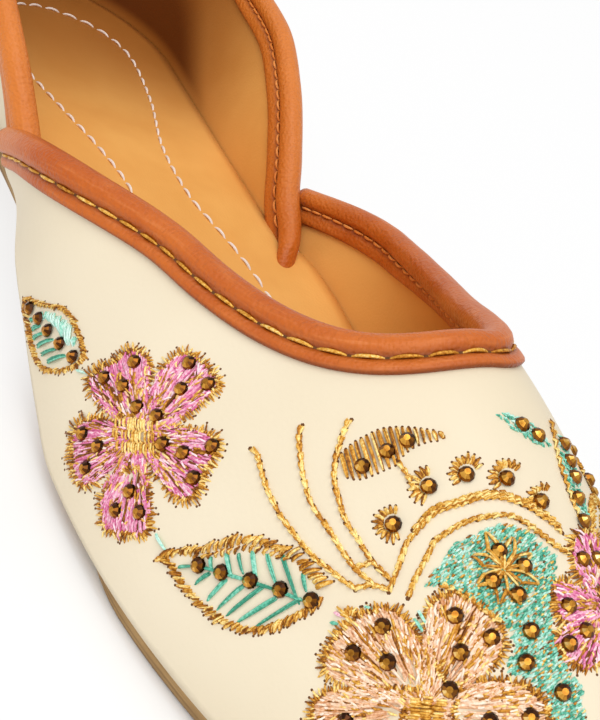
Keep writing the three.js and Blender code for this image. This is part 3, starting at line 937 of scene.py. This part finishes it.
def on_vamp(pixels):
    """Points of the vamp's face that show at pixels of the photo, and the way the face looks there."""
    spots, facing = [], []
    for u, v in pixels:
        ray = right * (u - PHOTO_MIDDLE[0]) - upward * (v - PHOTO_MIDDLE[1]) - back * focal
        spot, normal, _, _ = vamp_skin.ray_cast(Vector(to_frame(eye)), Vector(ray).normalized())
        if spot is None:
            return None, None
        normal = np.array(normal) * (1 if np.dot(normal, ray) < 0 else -1)
        spots.append(np.array(spot) * 1000 + SHIFT)
        facing.append(normal)
    return np.array(spots), np.array(facing)


CORE_HEIGHT = 5.0


def across_toe(spots):
    """The same places on the other side of the shoe."""
    found, facing = [], []
    for spot in spots:
        middle = float(spine_lean(spot[0]))
        mirrored = np.array([spot[0], 2 * middle - spot[1], spot[2]])
        place, normal, _, _ = vamp_skin.find_nearest(Vector(to_frame(mirrored)))
        place, normal = np.array(place) * 1000 + SHIFT, np.array(normal)
        core = np.array([spot[0], middle, CORE_HEIGHT])
        found.append(place)
        facing.append(normal * (1 if np.dot(normal, place - core) > 0 else -1))
    return np.array(found), np.array(facing)


def within(spot, chart):
    """Whether a pixel lies inside a charted outline."""
    x, y = np.array(chart, float).T
    after_x, after_y = np.roll(x, -1), np.roll(y, -1)
    crosses = (y > spot[1]) != (after_y > spot[1])
    reach = x + (spot[1] - y) * (after_x - x) / np.where(crosses, after_y - y, 1)
    return bool(np.sum(crosses & (spot[0] < reach)) % 2)


def side_on(way):
    return np.array([-way[1], way[0]]) / (math.hypot(*way) + 1e-6)


SPAN, DIP, SEAT, PLUMP = 7, 0.12, 0.8, 1.8
JITTER, STACK = 0.4, 0.06


def sew(thread, start, end, lift, width, tint, bow, both):
    """One strand between two pixels that stands up in its middle, of any tone if none is given."""
    start, end = np.asarray(start, float), np.asarray(end, float)
    way = end - start
    t = np.linspace(0, 1, max(3, int(math.hypot(*way) / SPAN) + 2))[:, None]
    spots, facing = on_vamp(start + way * t + side_on(way) * bow * np.sin(math.pi * t))
    if spots is None:
        return
    stand = (lift + SEAT * thread.radius + DIP) * np.minimum(1, PLUMP * np.sin(math.pi * t)) - DIP
    tint = rng.uniform(0.05, 0.95) if tint is None else tint
    thread.lay(spots + facing * stand, width, tint)
    if both:
        spots, facing = across_toe(spots)
        thread.lay(spots + facing * stand, width, tint)


def stitch(thread, start, end, count, spread=1.25, both=True, lift=0.1, twist=0.3, low=0.0, high=1.0):
    """A few strands side by side, as one stitch, with tones between low and high."""
    start, end = np.asarray(start, float), np.asarray(end, float)
    aside = side_on(end - start) * spread
    for k in range(count):
        shift = aside * (k - (count - 1) / 2)
        begin = start + shift + rng.uniform(-JITTER, JITTER, 2)
        stop = end + shift * (1 - 2 * twist) + rng.uniform(-JITTER, JITTER, 2)
        sew(thread, begin, stop, lift + STACK * k, rng.uniform(0.9, 1.15), rng.uniform(low, high),
            rng.uniform(-0.5, 0.5), both)


def prick(spot, both=True, size=0.25):
    """Needle hole in the vamp."""
    spots, facing = on_vamp([spot])
    if spots is not None:
        needle_holes.append((spots[0], facing[0], size))
        if both:
            spots, facing = across_toe(spots)
            needle_holes.append((spots[0], facing[0], size))


ROPE_LAP, ROPE_HOLE, HOLE_STRAYS = 0.2, 0.42, 1.5


def rope(chart, length=9.0, count=4, both=True, lift=0.1):
    """Stem of short stitches that overlap, with a needle hole by each of their ends."""
    path = spline(chart, length)
    for a, b in zip(path, path[1:]):
        stitch(gold_line, a, b + (b - a) * ROPE_LAP, count, spread=1.7, both=both,
               lift=lift + rng.uniform(0, 0.08), twist=0.4, low=0.3, high=1.1)
    for spot in path:
        prick(spot + rng.uniform(-HOLE_STRAYS, HOLE_STRAYS, 2), both, size=ROPE_HOLE)


FRINGE_PROBE, HELD_BACK, LONG_ENOUGH = 2, 1.5, 4


def fringe(chart, reach, step, count, foot, both=True, closed=True, slant=0.0, holes=0.6, keep_off=()):
    """Short gold stitches across an outline, some with a needle hole at the end, short where others lie."""
    path = spline(chart, step, closed)
    way = np.gradient(path, axis=0)
    area = np.sum(path[:-1, 0] * path[1:, 1] - path[1:, 0] * path[:-1, 1])
    turned = np.sign(area) if closed else 1.0
    for spot, along in zip(path[:-1] if closed else path, way):
        out, turn = -side_on(along) * turned, slant + rng.uniform(-0.3, 0.3)
        lean = out * math.cos(turn) + along / (math.hypot(*along) + 1e-6) * math.sin(turn)
        far = rng.uniform(*reach)
        ends = (spot + lean * far, spot + out * FRINGE_PROBE)
        if any(within(end, other) for other in keep_off for end in ends):
            far = HELD_BACK
        tip = spot + lean * far
        root = spot - lean * foot * rng.uniform(0.6, 1.3)
        stitch(gold, root, tip, count, spread=1.15, both=both, lift=rng.uniform(0.05, 0.2))
        if far > LONG_ENOUGH and rng.random() < holes:
            prick(tip + lean * 0.5, both)


def petal(silk, chart, root, others, both, loose):
    """Petal of long and short stitches that run to the flower's middle, edged and shaded in gold."""
    root = np.asarray(root, float)
    # A first pass of wide strands lies under the rest; a quarter are dark gold, whose dark tones paint the
    # shade between the threads
    shadow = (gold_shade, 0.0, 0.6) if silk is peach else (gold_shade, -0.4, 0.3)
    for spot in spline(chart, 2.6, True)[:-1]:
        end = spot + (root - spot) * rng.uniform(0.4, 0.75)
        base, low, high = shadow if rng.random() < 0.25 else (silk, 0.2, 0.75)
        sew(base, spot, end, 0.0, 1.6, rng.uniform(low, high), rng.uniform(-2, 2), both)
    # Each pass: thread, pixels between strands, and how far inside the edge its strands begin
    for thread, step, first, final in (
            (silk, 2.1, -1.5, 5.0), (silk, 2.4, 9.0, 21.0), (silk, 3.0, 20.0, 38.0),
            (peach, 5.0, 16.0, 40.0), (gold_shade, 3.0, 12.0, 42.0)):
        for spot in spline(chart, step, True)[:-1]:
            far = math.hypot(*(root - spot))
            inward = (root - spot) / far
            begin, length, turn = rng.uniform(first, final), rng.uniform(11, 19), rng.uniform(-0.28, 0.28)
            if begin + length > far - 5:
                continue
            way = inward * math.cos(turn) + side_on(inward) * math.sin(turn)
            start = spot + inward * begin
            tint = rng.choice([0.15, 0.4, 0.65, 0.95], p=[0.17, 0.33, 0.33, 0.17])
            sew(thread, start, start + way * length, rng.uniform(0.0, 0.26), rng.uniform(0.85, 1.2), tint,
                rng.uniform(-1.6, 1.6), both)
    for spot in rng.uniform(np.min(chart, 0), np.max(chart, 0), (loose, 2)):
        if within(spot, chart):
            turn = rng.uniform(-0.6, 0.6)
            way = (root - spot) / math.hypot(*(root - spot)) * rng.uniform(4.5, 8.5)
            way = way * math.cos(turn) + np.array([-way[1], way[0]]) * math.sin(turn)
            fleck = gold_shade if rng.random() < 0.45 else silk
            sew(fleck, spot - way, spot + way, rng.uniform(0.2, 0.45), 1.0, rng.uniform(0.2, 1.1),
                rng.uniform(-1, 1), both)
    fringe(chart, reach=(1.0, 4.5), step=2.4, count=1, foot=5.0, both=both, holes=0, keep_off=others)
    fringe(chart, reach=(5.0, 10.0), step=3.0, count=1, foot=4.5, both=both, holes=0.25, keep_off=others)


def flower(silk, chart, loose, once=()):
    """Petals round a middle, on both sides of the shoe but for those that are sewn once."""
    petals = chart["petals"]
    for k, outline in enumerate(petals):
        petal(silk, outline, chart["middle"], petals[:k] + petals[k + 1:], k not in once, loose)


def basket(middle, across, along, rows, per_row):
    """Middle of a flower: rows of upright strands that lie side by side."""
    middle, across, along = (np.array(v, float) for v in (middle, across, along))
    for row in range(rows):
        top = middle + along * (row / rows - 0.5)
        width = 0.85 + 0.15 * (row % 2)
        for k in range(per_row):
            start = top + across * ((k + 0.5) / per_row - 0.5) * width + rng.uniform(-1.4, 1.4, 2)
            sew(gold_line, start, start + along * rng.uniform(1.2, 1.7) / rows, rng.uniform(0.3, 0.45), 0.95,
                rng.uniform(0.4, 1.05), rng.uniform(-1, 1), True)


def stripes(top, bottom, step):
    """Leaf of slanting gold stitches between two charted edges."""
    upper, lower = spline(top, step), spline(bottom, step)
    count = min(len(upper), len(lower))
    for k in range(count):
        a = upper[k]
        b = lower[min(int(k * (len(lower) - 1) / (count - 1) + 1.5), len(lower) - 1)]
        stitch(gold_line, a, b, count=3, spread=1.2)
        prick(a)
        prick(b)


def scatter(silk, chart, step, way, both=True):
    """Ground of short slanting strands that fill an outline."""
    x, y = np.array(chart, float).T
    way = np.array(way, float)
    for v in np.arange(y.min(), y.max(), step * 0.8):
        for u in np.arange(x.min(), x.max(), step):
            spot = np.array([u, v]) + rng.uniform(-1.6, 1.6, 2)
            if within(spot, chart):
                turned = way + rng.uniform(-2.0, 2.0, 2)
                sew(silk, spot - turned / 2, spot + turned / 2, rng.uniform(0, 0.16), 1.05, None, 0, both)


ROSETTE_HOLE, ROSETTE_STEP, SHORTER, LONGER = 9.0, 19.0, 3, 1


def rosette(middle, first, final, both=True, reach=20.0):
    """Stone with gold stitches part of the way round it, between two angles in the picture."""
    middle = np.array(middle, float)
    for angle in np.radians(np.arange(first, final, ROSETTE_STEP)):
        out = np.array([math.cos(angle), math.sin(angle)])
        tip = middle + out * rng.uniform(reach - SHORTER, reach + LONGER)
        stitch(gold_line, middle + out * ROSETTE_HOLE, tip, count=3, spread=1.2, both=both)
        prick(tip, both)
    stones.append((middle, both))


def set_stones(spots, both=True):
    """Marks places for stones, which are set when all threads are sewn."""
    stones.extend((spot, both) for spot in spots)


gold_shade, gold = Thread("gold_shading", radius=0.18), Thread("gold_edging", radius=0.18)
gold_line = Thread("gold_stems", radius=0.2)
pink, peach = Thread("pink_embroidery", radius=0.165), Thread("peach_embroidery", radius=0.165)
mint = Thread("mint_embroidery", radius=0.18)
stones = []

SIDE_FLOWER = dict(
    middle=(140, 437),
    petals=[
        [(90, 375), (96, 370), (109, 364), (118, 358), (124, 353), (133, 349), (142, 353), (148, 358),
         (149, 368), (147, 380), (145, 394), (138, 412), (128, 416), (113, 412), (102, 403), (93, 393),
         (89, 383)],
        [(162, 371), (171, 360), (179, 354), (189, 353), (196, 358), (204, 364), (212, 371), (219, 382),
         (217, 390), (208, 396), (200, 404), (190, 412), (172, 420), (164, 412), (160, 400), (159, 386)],
        [(172, 426), (186, 431), (204, 432), (217, 439), (219, 447), (215, 458), (209, 467), (204, 475),
         (201, 486), (194, 498), (186, 501), (175, 496), (166, 485), (158, 472), (152, 463), (160, 450)],
        [(105, 492), (102, 505), (103, 518), (106, 529), (113, 533), (124, 534), (135, 536), (146, 534),
         (149, 523), (148, 509), (146, 496), (146, 480), (138, 468), (126, 470), (112, 482)],
        [(71, 447), (72, 437), (76, 426), (84, 421), (96, 419), (109, 421), (116, 430), (113, 442),
         (110, 451), (105, 461), (100, 472), (93, 483), (84, 487), (77, 480), (73, 467)],
    ],
    basket=dict(middle=(138, 434), across=(46, 4), along=(-2, 36), rows=3, per_row=19),
    stones=[(103, 377), (133, 361), (122, 385), (136, 406), (155, 415), (188, 362), (180, 388),
            (207, 383), (161, 443), (182, 452), (211, 445), (192, 477), (128, 491), (114, 510),
            (138, 512), (81, 433), (96, 446), (84, 468)])
flower(pink, SIDE_FLOWER, loose=40)
basket(**SIDE_FLOWER["basket"])
set_stones(SIDE_FLOWER["stones"])

SMALL_LEAF = dict(
    edge=[(27, 299), (40, 304), (55, 307), (66, 312), (73, 321), (78, 333), (82, 346), (83, 358), (75, 366),
          (62, 371), (50, 371), (42, 367), (35, 357), (31, 342), (28, 326), (25, 311)],
    low_veins=[((30, 321), (35, 318)), ((31, 330), (41, 325)), ((32, 339), (46, 332)), ((36, 347), (54, 339)),
               ((40, 355), (59, 348)), ((46, 362), (66, 355))],
    high_veins=[((40, 312), (44, 320)), ((47, 311), (49, 322)), ((53, 312), (55, 327)),
                ((59, 315), (60, 333)), ((65, 319), (63, 340)), ((70, 323), (68, 346)),
                ((75, 336), (73, 347))],
    stones=[(28, 308), (37, 318), (46, 330), (58, 343), (71, 356)])
LEAF_STALKS = [((75, 370), (88, 374)), ((155, 533), (168, 553))]
fringe(SMALL_LEAF["edge"], reach=(2.5, 5.5), step=2.8, count=3, foot=3.5, slant=0.7)
for start, end in SMALL_LEAF["low_veins"]:
    stitch(mint, start, end, count=4, spread=1.3, low=-0.2, high=0.5)
for start, end in SMALL_LEAF["high_veins"]:
    stitch(mint, start, end, count=4, spread=1.35, low=0.6, high=1.2)
set_stones(SMALL_LEAF["stones"])
for start, end in LEAF_STALKS:
    stitch(mint, start, end, count=2, low=0.6)

LARGE_LEAF = dict(
    top=[(163, 556), (178, 553), (195, 551), (214, 548), (232, 543), (250, 541), (268, 545), (284, 552)],
    end=[(284, 552), (297, 560), (308, 572), (320, 586)],
    bottom=[(162, 558), (172, 566), (178, 578), (190, 592), (204, 607), (224, 621), (244, 629), (264, 629),
            (284, 622), (302, 614), (320, 602)],
    veins=[((211, 558), (212, 569)), ((227, 555), (232, 576)), ((239, 555), (243, 572)),
           ((253, 554), (257, 583)), ((268, 557), (277, 585)), ((284, 560), (298, 600)),
           ((303, 575), (306, 590)), ((209, 574), (196, 584)), ((225, 581), (209, 599)),
           ((241, 588), (219, 608)), ((262, 588), (230, 613)), ((273, 600), (241, 620)),
           ((297, 601), (259, 625)), ((180, 567), (198, 566))],
    rib=[(198, 566), (222, 573), (250, 581), (280, 591), (306, 602)],
    stones=[(197, 565), (220, 572), (249, 580), (279, 589), (310, 600)])
VEIN_OVERRUN, INNER_FRINGE = 0.14, (0, 8)
for start, end in LARGE_LEAF["veins"]:
    longer = np.subtract(end, start) * VEIN_OVERRUN
    stitch(mint, start - longer, end + longer, count=3, spread=1.4, twist=0.4, low=-0.2, high=0.6)
for a, b in zip(LARGE_LEAF["rib"], LARGE_LEAF["rib"][1:]):
    stitch(mint, a, b, count=2, low=-0.1, high=0.4)
fringe(LARGE_LEAF["top"], reach=(6, 11), step=5.8, count=4, foot=5, closed=False, slant=0.75, holes=1)
fringe(np.add(LARGE_LEAF["top"][2:], INNER_FRINGE), reach=(4, 7), step=7.2, count=3, foot=4, closed=False,
       slant=0.75)
fringe(LARGE_LEAF["end"], reach=(9, 15), step=6.4, count=4, foot=5, closed=False, slant=0.35, holes=1)
fringe(LARGE_LEAF["bottom"][::-1], reach=(5, 10), step=5.4, count=4, foot=5, closed=False, slant=0.8, holes=1)
set_stones(LARGE_LEAF["stones"])

STEMS = [
    [(251, 448), (257, 453), (261, 468), (268, 491), (280, 514), (294, 534), (312, 555), (331, 571),
     (354, 588)],
    [(302, 425), (299, 435), (300, 449), (302, 468), (306, 487), (312, 505), (328, 528), (340, 547),
     (355, 568), (374, 585)],
    [(350, 419), (345, 430), (341, 441), (336, 459), (334, 478), (338, 496), (345, 519), (359, 541),
     (373, 562), (390, 579)],
    [(355, 568), (373, 562)],
    [(354, 589), (374, 585), (388, 590)],
    [(398, 462), (404, 470), (410, 480), (414, 489)],
]
for chart in STEMS:
    rope(chart)
STRIPED_LEAF = dict(
    top=[(341, 453), (354, 442), (367, 435), (380, 429), (394, 427), (408, 427), (425, 429), (437, 431),
         (444, 436)],
    bottom=[(342, 475), (351, 479), (362, 479), (374, 475), (387, 469), (395, 466), (402, 457), (413, 448),
            (428, 442), (437, 441), (443, 438)],
    stones=[(362, 465), (387, 450), (407, 439)])
stripes(STRIPED_LEAF["top"], STRIPED_LEAF["bottom"], step=6.4)
set_stones(STRIPED_LEAF["stones"])
ROSETTES = [
    dict(middle=(393, 523), first=70, final=290),
    dict(middle=(429, 485), first=110, final=280, reach=22),
    dict(middle=(467, 473), first=140, final=340),
    dict(middle=(508, 477), first=140, final=330, both=False),
    dict(middle=(543, 500), first=150, final=300, both=False, reach=17),
]
for chart in ROSETTES:
    rosette(**chart)

ARCS = [
    [(388, 592), (393, 580), (400, 562), (407, 542), (414, 534), (423, 524), (434, 513), (447, 508),
     (462, 504), (475, 499), (498, 497), (511, 500), (524, 505), (535, 511), (545, 518), (553, 524),
     (561, 533)],
    [(408, 597), (416, 577), (427, 557), (433, 543), (439, 538), (450, 531), (459, 525), (472, 520),
     (486, 517), (498, 515), (511, 516), (522, 521), (534, 529), (545, 538), (556, 546), (567, 553)],
]
DOUBLED_FROM, DOUBLED_BY = 4, (-1, -4)
for chart in ARCS + [np.add(ARCS[0][DOUBLED_FROM:], DOUBLED_BY)]:
    rope(chart, length=8.0)

MINT_GROUND = dict(
    way=(6.0, -4.5),
    outline=[(423, 587), (438, 566), (455, 543), (472, 535), (487, 528), (500, 525), (514, 526),
             (530, 533), (542, 546), (555, 554), (556, 574), (549, 590), (549, 612), (551, 632),
             (557, 652), (566, 668), (574, 680), (582, 692), (582, 708), (588, 730), (560, 745),
             (550, 718), (547, 697), (538, 686), (524, 676), (510, 672), (508, 662), (516, 650),
             (512, 634), (502, 622), (486, 612), (474, 602), (460, 592), (440, 584)],
    border=[(440, 584), (460, 592), (474, 602), (488, 613), (502, 622)],
    stones=[(500, 550), (525, 565), (493, 580), (519, 594), (532, 630), (527, 662), (564, 692)])
scatter(mint, MINT_GROUND["outline"], step=3.8, way=MINT_GROUND["way"])
scatter(gold_shade, MINT_GROUND["outline"], step=8.0, way=MINT_GROUND["way"])
STAR = dict(
    middle=(503, 570), bulge=6.5, widest=0.55, overlap=0.08,
    tips=[(484, 531), (513, 536), (533, 554), (540, 586), (521, 607), (499, 606), (475, 587), (471, 555)])
for tip in STAR["tips"]:
    way = np.subtract(tip, STAR["middle"])
    for bulge in (-STAR["bulge"], STAR["bulge"]):
        middle = np.add(STAR["middle"], way * STAR["widest"]) + side_on(way) * bulge
        over = way * STAR["overlap"]
        for start, end in ((STAR["middle"], middle + over), (middle - over, tip)):
            stitch(gold, start, end, count=3, spread=1.1, lift=0.4, twist=0.6, low=0.2)
rope(MINT_GROUND["border"], length=8.0, lift=0.2)
set_stones(MINT_GROUND["stones"])

TOE_FLOWER = dict(
    middle=(424, 710),
    petals=[
        [(324, 658), (330, 644), (340, 630), (360, 615), (376, 610), (390, 609), (404, 618), (413, 628),
         (421, 643), (428, 660), (430, 680), (415, 690), (390, 688), (360, 684), (335, 678), (324, 670)],
        [(428, 608), (438, 599), (448, 594), (462, 595), (476, 604), (490, 615), (501, 627), (504, 644),
         (498, 660), (484, 671), (468, 682), (448, 684), (437, 666), (431, 645), (427, 625)],
        [(470, 688), (490, 681), (512, 683), (530, 689), (543, 701), (548, 716), (545, 735), (530, 750),
         (505, 755), (480, 745), (460, 728), (454, 708)],
        [(312, 706), (325, 693), (350, 690), (380, 694), (404, 702), (402, 722), (385, 742), (360, 755),
         (335, 755), (315, 735)],
        [(420, 728), (445, 732), (462, 752), (458, 778), (436, 792), (412, 786), (398, 765), (402, 742)],
    ],
    basket=dict(middle=(424, 710), across=(4, -28), along=(36, 4), rows=3, per_row=12),
    stones=[(382, 626), (352, 653), (387, 662), (455, 615), (492, 637), (461, 652), (450, 690),
            (531, 717), (490, 722), (345, 722), (375, 738), (425, 765), (448, 770)])
BURST = dict(middle=(350, 618), angles=np.arange(-160, -20, 20.0), root=2, reach=(9, 19))
STRAYS = [
    (mint, (364, 606), (375, 611)), (mint, (418, 610), (428, 627)), (mint, (414, 618), (424, 634)),
    (pink, (334, 612), (343, 617)), (mint, (330, 622), (338, 624)),
]
flower(peach, TOE_FLOWER, loose=130)
basket(**TOE_FLOWER["basket"])
for angle in np.radians(BURST["angles"]):
    out = np.array([math.cos(angle), math.sin(angle)])
    start, end = (BURST["middle"] + out * far for far in (BURST["root"], rng.uniform(*BURST["reach"])))
    stitch(gold_line, start, end, count=2, lift=0.25, low=0.3)
for thread, start, end in STRAYS:
    stitch(thread, start, end, count=2, lift=0.2, low=0.2, high=0.8)
set_stones(TOE_FLOWER["stones"])

TIP_FLOWER = dict(
    middle=(604, 607),
    petals=[
        [(571, 542), (580, 531), (591, 532), (601, 545), (604, 565), (603, 585), (594, 592), (582, 582),
         (573, 562)],
        [(554, 584), (565, 583), (580, 590), (594, 599), (592, 613), (578, 622), (562, 622), (555, 606)],
        [(556, 642), (562, 630), (578, 625), (595, 620), (602, 640), (600, 662), (585, 667), (570, 661)],
    ],
    on_middle_line=[0],
    stones=[(585, 558), (570, 605), (588, 630), (571, 643)])
flower(pink, TIP_FLOWER, loose=40, once=TIP_FLOWER["on_middle_line"])
set_stones(TIP_FLOWER["stones"])

CENTRE_LEAVES = dict(
    left=[(497, 416), (508, 413), (520, 417), (533, 426), (545, 439), (551, 447), (540, 446), (528, 440),
          (514, 430)],
    right=[(557, 432), (564, 440), (571, 456), (577, 472), (582, 490), (587, 508), (590, 524), (582, 520),
           (574, 502), (567, 484), (561, 465), (556, 447)],
    line=[(550, 420), (553, 432), (556, 450), (561, 468), (567, 487), (574, 505), (582, 522)],
    stones=[(524, 423), (540, 434), (566, 443), (572, 460), (577, 476), (580, 497), (586, 520)])
scatter(mint, CENTRE_LEAVES["left"], step=3.8, way=(5.0, 4.5), both=False)
scatter(mint, CENTRE_LEAVES["right"], step=3.6, way=(4.5, 5.5), both=False)
rope(CENTRE_LEAVES["line"], count=3, both=False)
set_stones(CENTRE_LEAVES["stones"], both=False)

pink_tones = [(196, 78, 132), (226, 124, 166), (243, 180, 203), (254, 230, 234)]
peach_tones = [(206, 138, 84), (233, 182, 140), (247, 216, 186), (255, 240, 222)]
mint_tones = [(52, 140, 112), (100, 190, 160), (156, 220, 198), (214, 242, 230)]
for thread in (gold_shade, gold, gold_line):
    thread.piece(gold_finish, "gold_thread", sides=4)
for thread, name, tones in ((pink, "pink_thread", pink_tones), (peach, "peach_thread", peach_tones),
                            (mint, "mint_thread", mint_tones)):
    thread.piece(thread_finish(name, tones, metal=0.0, rough=0.4), "silk_thread", sides=4)

# Stones and needle holes
# Flat-backed bronze glass stones with cut facets, glued on over the embroidery, and the pricks that the
# needle left at the ends of the stitches.
# The stones' facets are coloured with painted light: painted shade and painted highlights.
stud_tree, stud_keys, inputs = node_tree("set_stones", {
    "Places": "Geometry", "Facets": "Int", "Tiers": "Int", "Table": "Float", "Height": "Float",
    "Sink": "Float", "Finish": "Material"})
places, facets, tiers, table, height, sink, finish = inputs
work = Shade(stud_tree)
crown = work.node("GeometryNodeMeshCone", None, {
    "Vertices": facets, "Side Segments": tiers, "Radius Top": table, "Radius Bottom": 1.0, "Depth": height})
corner = work.node("GeometryNodeInputPosition")
level = work.node("ShaderNodeSeparateXYZ", None, {0: corner}, 2)
girdle = work.sum("COMPARE", level, height * 0.5, 0.05)
wider = work.node("ShaderNodeVectorMath", {"operation": "MULTIPLY"}, {0: corner, 1: (0.2, 0.2, 0.0)})
cut = work.node("GeometryNodeSetPosition", None, {"Geometry": crown, "Selection": girdle, "Offset": wider})
lowered = work.node("GeometryNodeTransform", None, {
    "Geometry": cut, "Translation": work.node("ShaderNodeCombineXYZ", None, {"Z": sink})})
# Painted light: each facet's tone is how squarely it faces a light from the front and above, plus a random
# glint per facet
light_way = work.node("ShaderNodeVectorMath", {"operation": "DOT_PRODUCT"},
                      {0: work.node("GeometryNodeInputNormal"), 1: (0.35, -0.5, 1.0)}, 1)
sparkle = work.node("FunctionNodeRandomValue", {"data_type": "FLOAT"},
                    {"Min": -0.3, "Max": 0.3, "Seed": 4}, 1)
toned = work.node("GeometryNodeStoreNamedAttribute", {"data_type": "FLOAT", "domain": "FACE"},
                  {"Geometry": lowered, "Name": "tone", "Value": light_way + sparkle})
flat = work.node("GeometryNodeSetShadeSmooth", None, {"Geometry": toned, "Shade Smooth": False})
facing = work.node("GeometryNodeInputNamedAttribute", {"data_type": "FLOAT_VECTOR"}, {"Name": "facing"})
size = work.node("GeometryNodeInputNamedAttribute", {"data_type": "FLOAT"}, {"Name": "size"})
turned = work.node("FunctionNodeAlignRotationToVector", {"axis": "Z"}, {"Vector": facing})
set_on = work.node("GeometryNodeInstanceOnPoints", None,
                   {"Points": places, "Instance": flat, "Rotation": turned, "Scale": size})
end_tree(stud_tree, set_on, finish)


def set_studs(name, studs, values, slot):
    """The same small shape at each place, given with the way it faces and its radius in millimetres."""
    spots, facing, sizes = (np.array(column, float) for column in zip(*studs))
    mesh = bpy.data.meshes.new(name)
    mesh.from_pydata(to_frame(spots).tolist(), [], [])
    mesh.attributes.new("facing", "FLOAT_VECTOR", "POINT").data.foreach_set("vector", facing.ravel())
    mesh.attributes.new("size", "FLOAT", "POINT").data.foreach_set("value", sizes / 1000)
    grow(name, mesh, stud_tree, stud_keys, values, slot)


stone_glass, shade, place, link = new_material("bronze_stone", Roughness=0.16, Metallic=0.85,
                                               Coat_Weight=0.12, Coat_Roughness=0.05)
# The facets' tones run from painted shade to painted highlight, with noise as glint flecks
tone = shade.node("ShaderNodeAttribute", {"attribute_name": "tone"}, None, 2)
glint_flecks = shade.noise(place, 900.0, 2.0)
stops = [(0.0, rgb(36, 14, 0)), (0.35, rgb(88, 44, 2)), (0.6, rgb(156, 96, 16)), (0.8, rgb(220, 162, 62)),
         (1.0, rgb(255, 236, 172))]
link(Base_Color=shade.node("ShaderNodeValToRGB", {"stops": stops}, {0: tone * 0.6 + (glint_flecks - 0.5) * 0.5}))
STONE_RADIUS, STONE_LIFT, STONE_MIDDLE = 1.13, 0.3, 0.6
studs = []
for spot, both in stones:
    spots, facing = on_vamp([spot])
    if spots is None:
        continue
    # A stone stands off the leather, so it is moved until its middle shows where it is charted
    raised = spots[0] + facing[0] * STONE_MIDDLE - eye
    shown = np.array([raised @ right, -raised @ upward]) * focal / -(raised @ back) + PHOTO_MIDDLE
    moved, turned = on_vamp([2 * np.array(spot) - shown])
    spots, facing = (spots, facing) if moved is None else (moved, turned)
    studs.append((spots[0] + facing[0] * STONE_LIFT, facing[0], STONE_RADIUS))
    if both:
        spots, facing = across_toe(spots)
        studs.append((spots[0] + facing[0] * STONE_LIFT, facing[0], STONE_RADIUS))
set_studs("stone_beads", studs, {"Facets": 10, "Tiers": 2, "Table": 0.38, "Height": 0.78, "Sink": 0.0,
                                 "Finish": stone_glass}, "bronze_stone")
# Each needle hole is a small dark stud on the leather; its dark colour is painted shade for the hole
hole_shade, shade, place, link = new_material("needle_hole", Roughness=0.9)
link(Base_Color=shade.noise(place, 600.0).mix(colour(70, 38, 10), colour(118, 72, 28)))
set_studs("needle_holes", needle_holes, {"Facets": 6, "Tiers": 1, "Table": 0.5, "Height": 0.25, "Sink": -0.1,
                                         "Finish": hole_shade}, "gold_thread")

# Camera, floor and light
# The camera stands in front of the outer side of the toe, rolled as the photo is. The floor is a plain
# white light table, which glows beside the arch and the heel, so that shadows stay pale there.
SENSOR, FLOOR_REACH = 36.0, 6
GLOW_FROM, GLOW_TO = 0.045, 0.0
camera_data = bpy.data.cameras.new("camera")
camera_data.sensor_fit, camera_data.sensor_width = "AUTO", SENSOR
camera_data.lens = SENSOR * focal / PHOTO_HEIGHT
camera_data.clip_start, camera_data.clip_end = 0.01, 50.0
camera = bpy.data.objects.new("camera", camera_data)
camera.matrix_world = Matrix((*zip(right, upward, back, to_frame(eye)), (0, 0, 0, 1)))
bpy.context.scene.collection.objects.link(camera)
bpy.context.scene.camera = camera

floor_mesh = bpy.data.meshes.new("studio_floor")
corners = [(FLOOR_REACH * x, FLOOR_REACH * y, 0) for x, y in ((-1, -1), (1, -1), (1, 1), (-1, 1))]
floor_mesh.from_pydata(corners, [], [(0, 1, 2, 3)])
floor = bpy.data.objects.new("studio_floor", floor_mesh)
bpy.context.scene.collection.objects.link(floor)
floor_paint, shade, place, link = new_material("studio_floor", Roughness=0.9, Emission_Strength=0.77)
glow = shade.node("ShaderNodeSeparateXYZ", None, {0: place}).step(GLOW_FROM, GLOW_TO)
link(Base_Color=glow.mix(colour(239, 239, 239), colour(116, 116, 116)),
     Emission_Color=glow.mix(colour(0, 0, 0), colour(255, 255, 255)))
floor_mesh.materials.append(floor_paint)


def area_light(name, position, aim, size, power):
    data = bpy.data.lights.new(name, "AREA")
    data.size, data.energy = size, power
    light = bpy.data.objects.new(name, data)
    light.location = position
    light.rotation_euler = (Vector(aim) - Vector(position)).to_track_quat("-Z", "Y").to_euler()
    bpy.context.scene.collection.objects.link(light)


area_light("overhead", position=(0.2, -0.35, 1.2), aim=(0, 0, 0), size=1.2, power=9.0)
area_light("front", position=(0.9, -0.6, 0.5), aim=(0, 0, 0.02), size=0.8, power=2.3)
world = bpy.data.worlds.new("studio")
world.use_nodes = True
world.node_tree.nodes["Background"].inputs["Color"].default_value = (1, 1, 1, 1)
world.node_tree.nodes["Background"].inputs["Strength"].default_value = 0.72
bpy.context.scene.world = world
bpy.context.scene.view_settings.view_transform = "Standard"
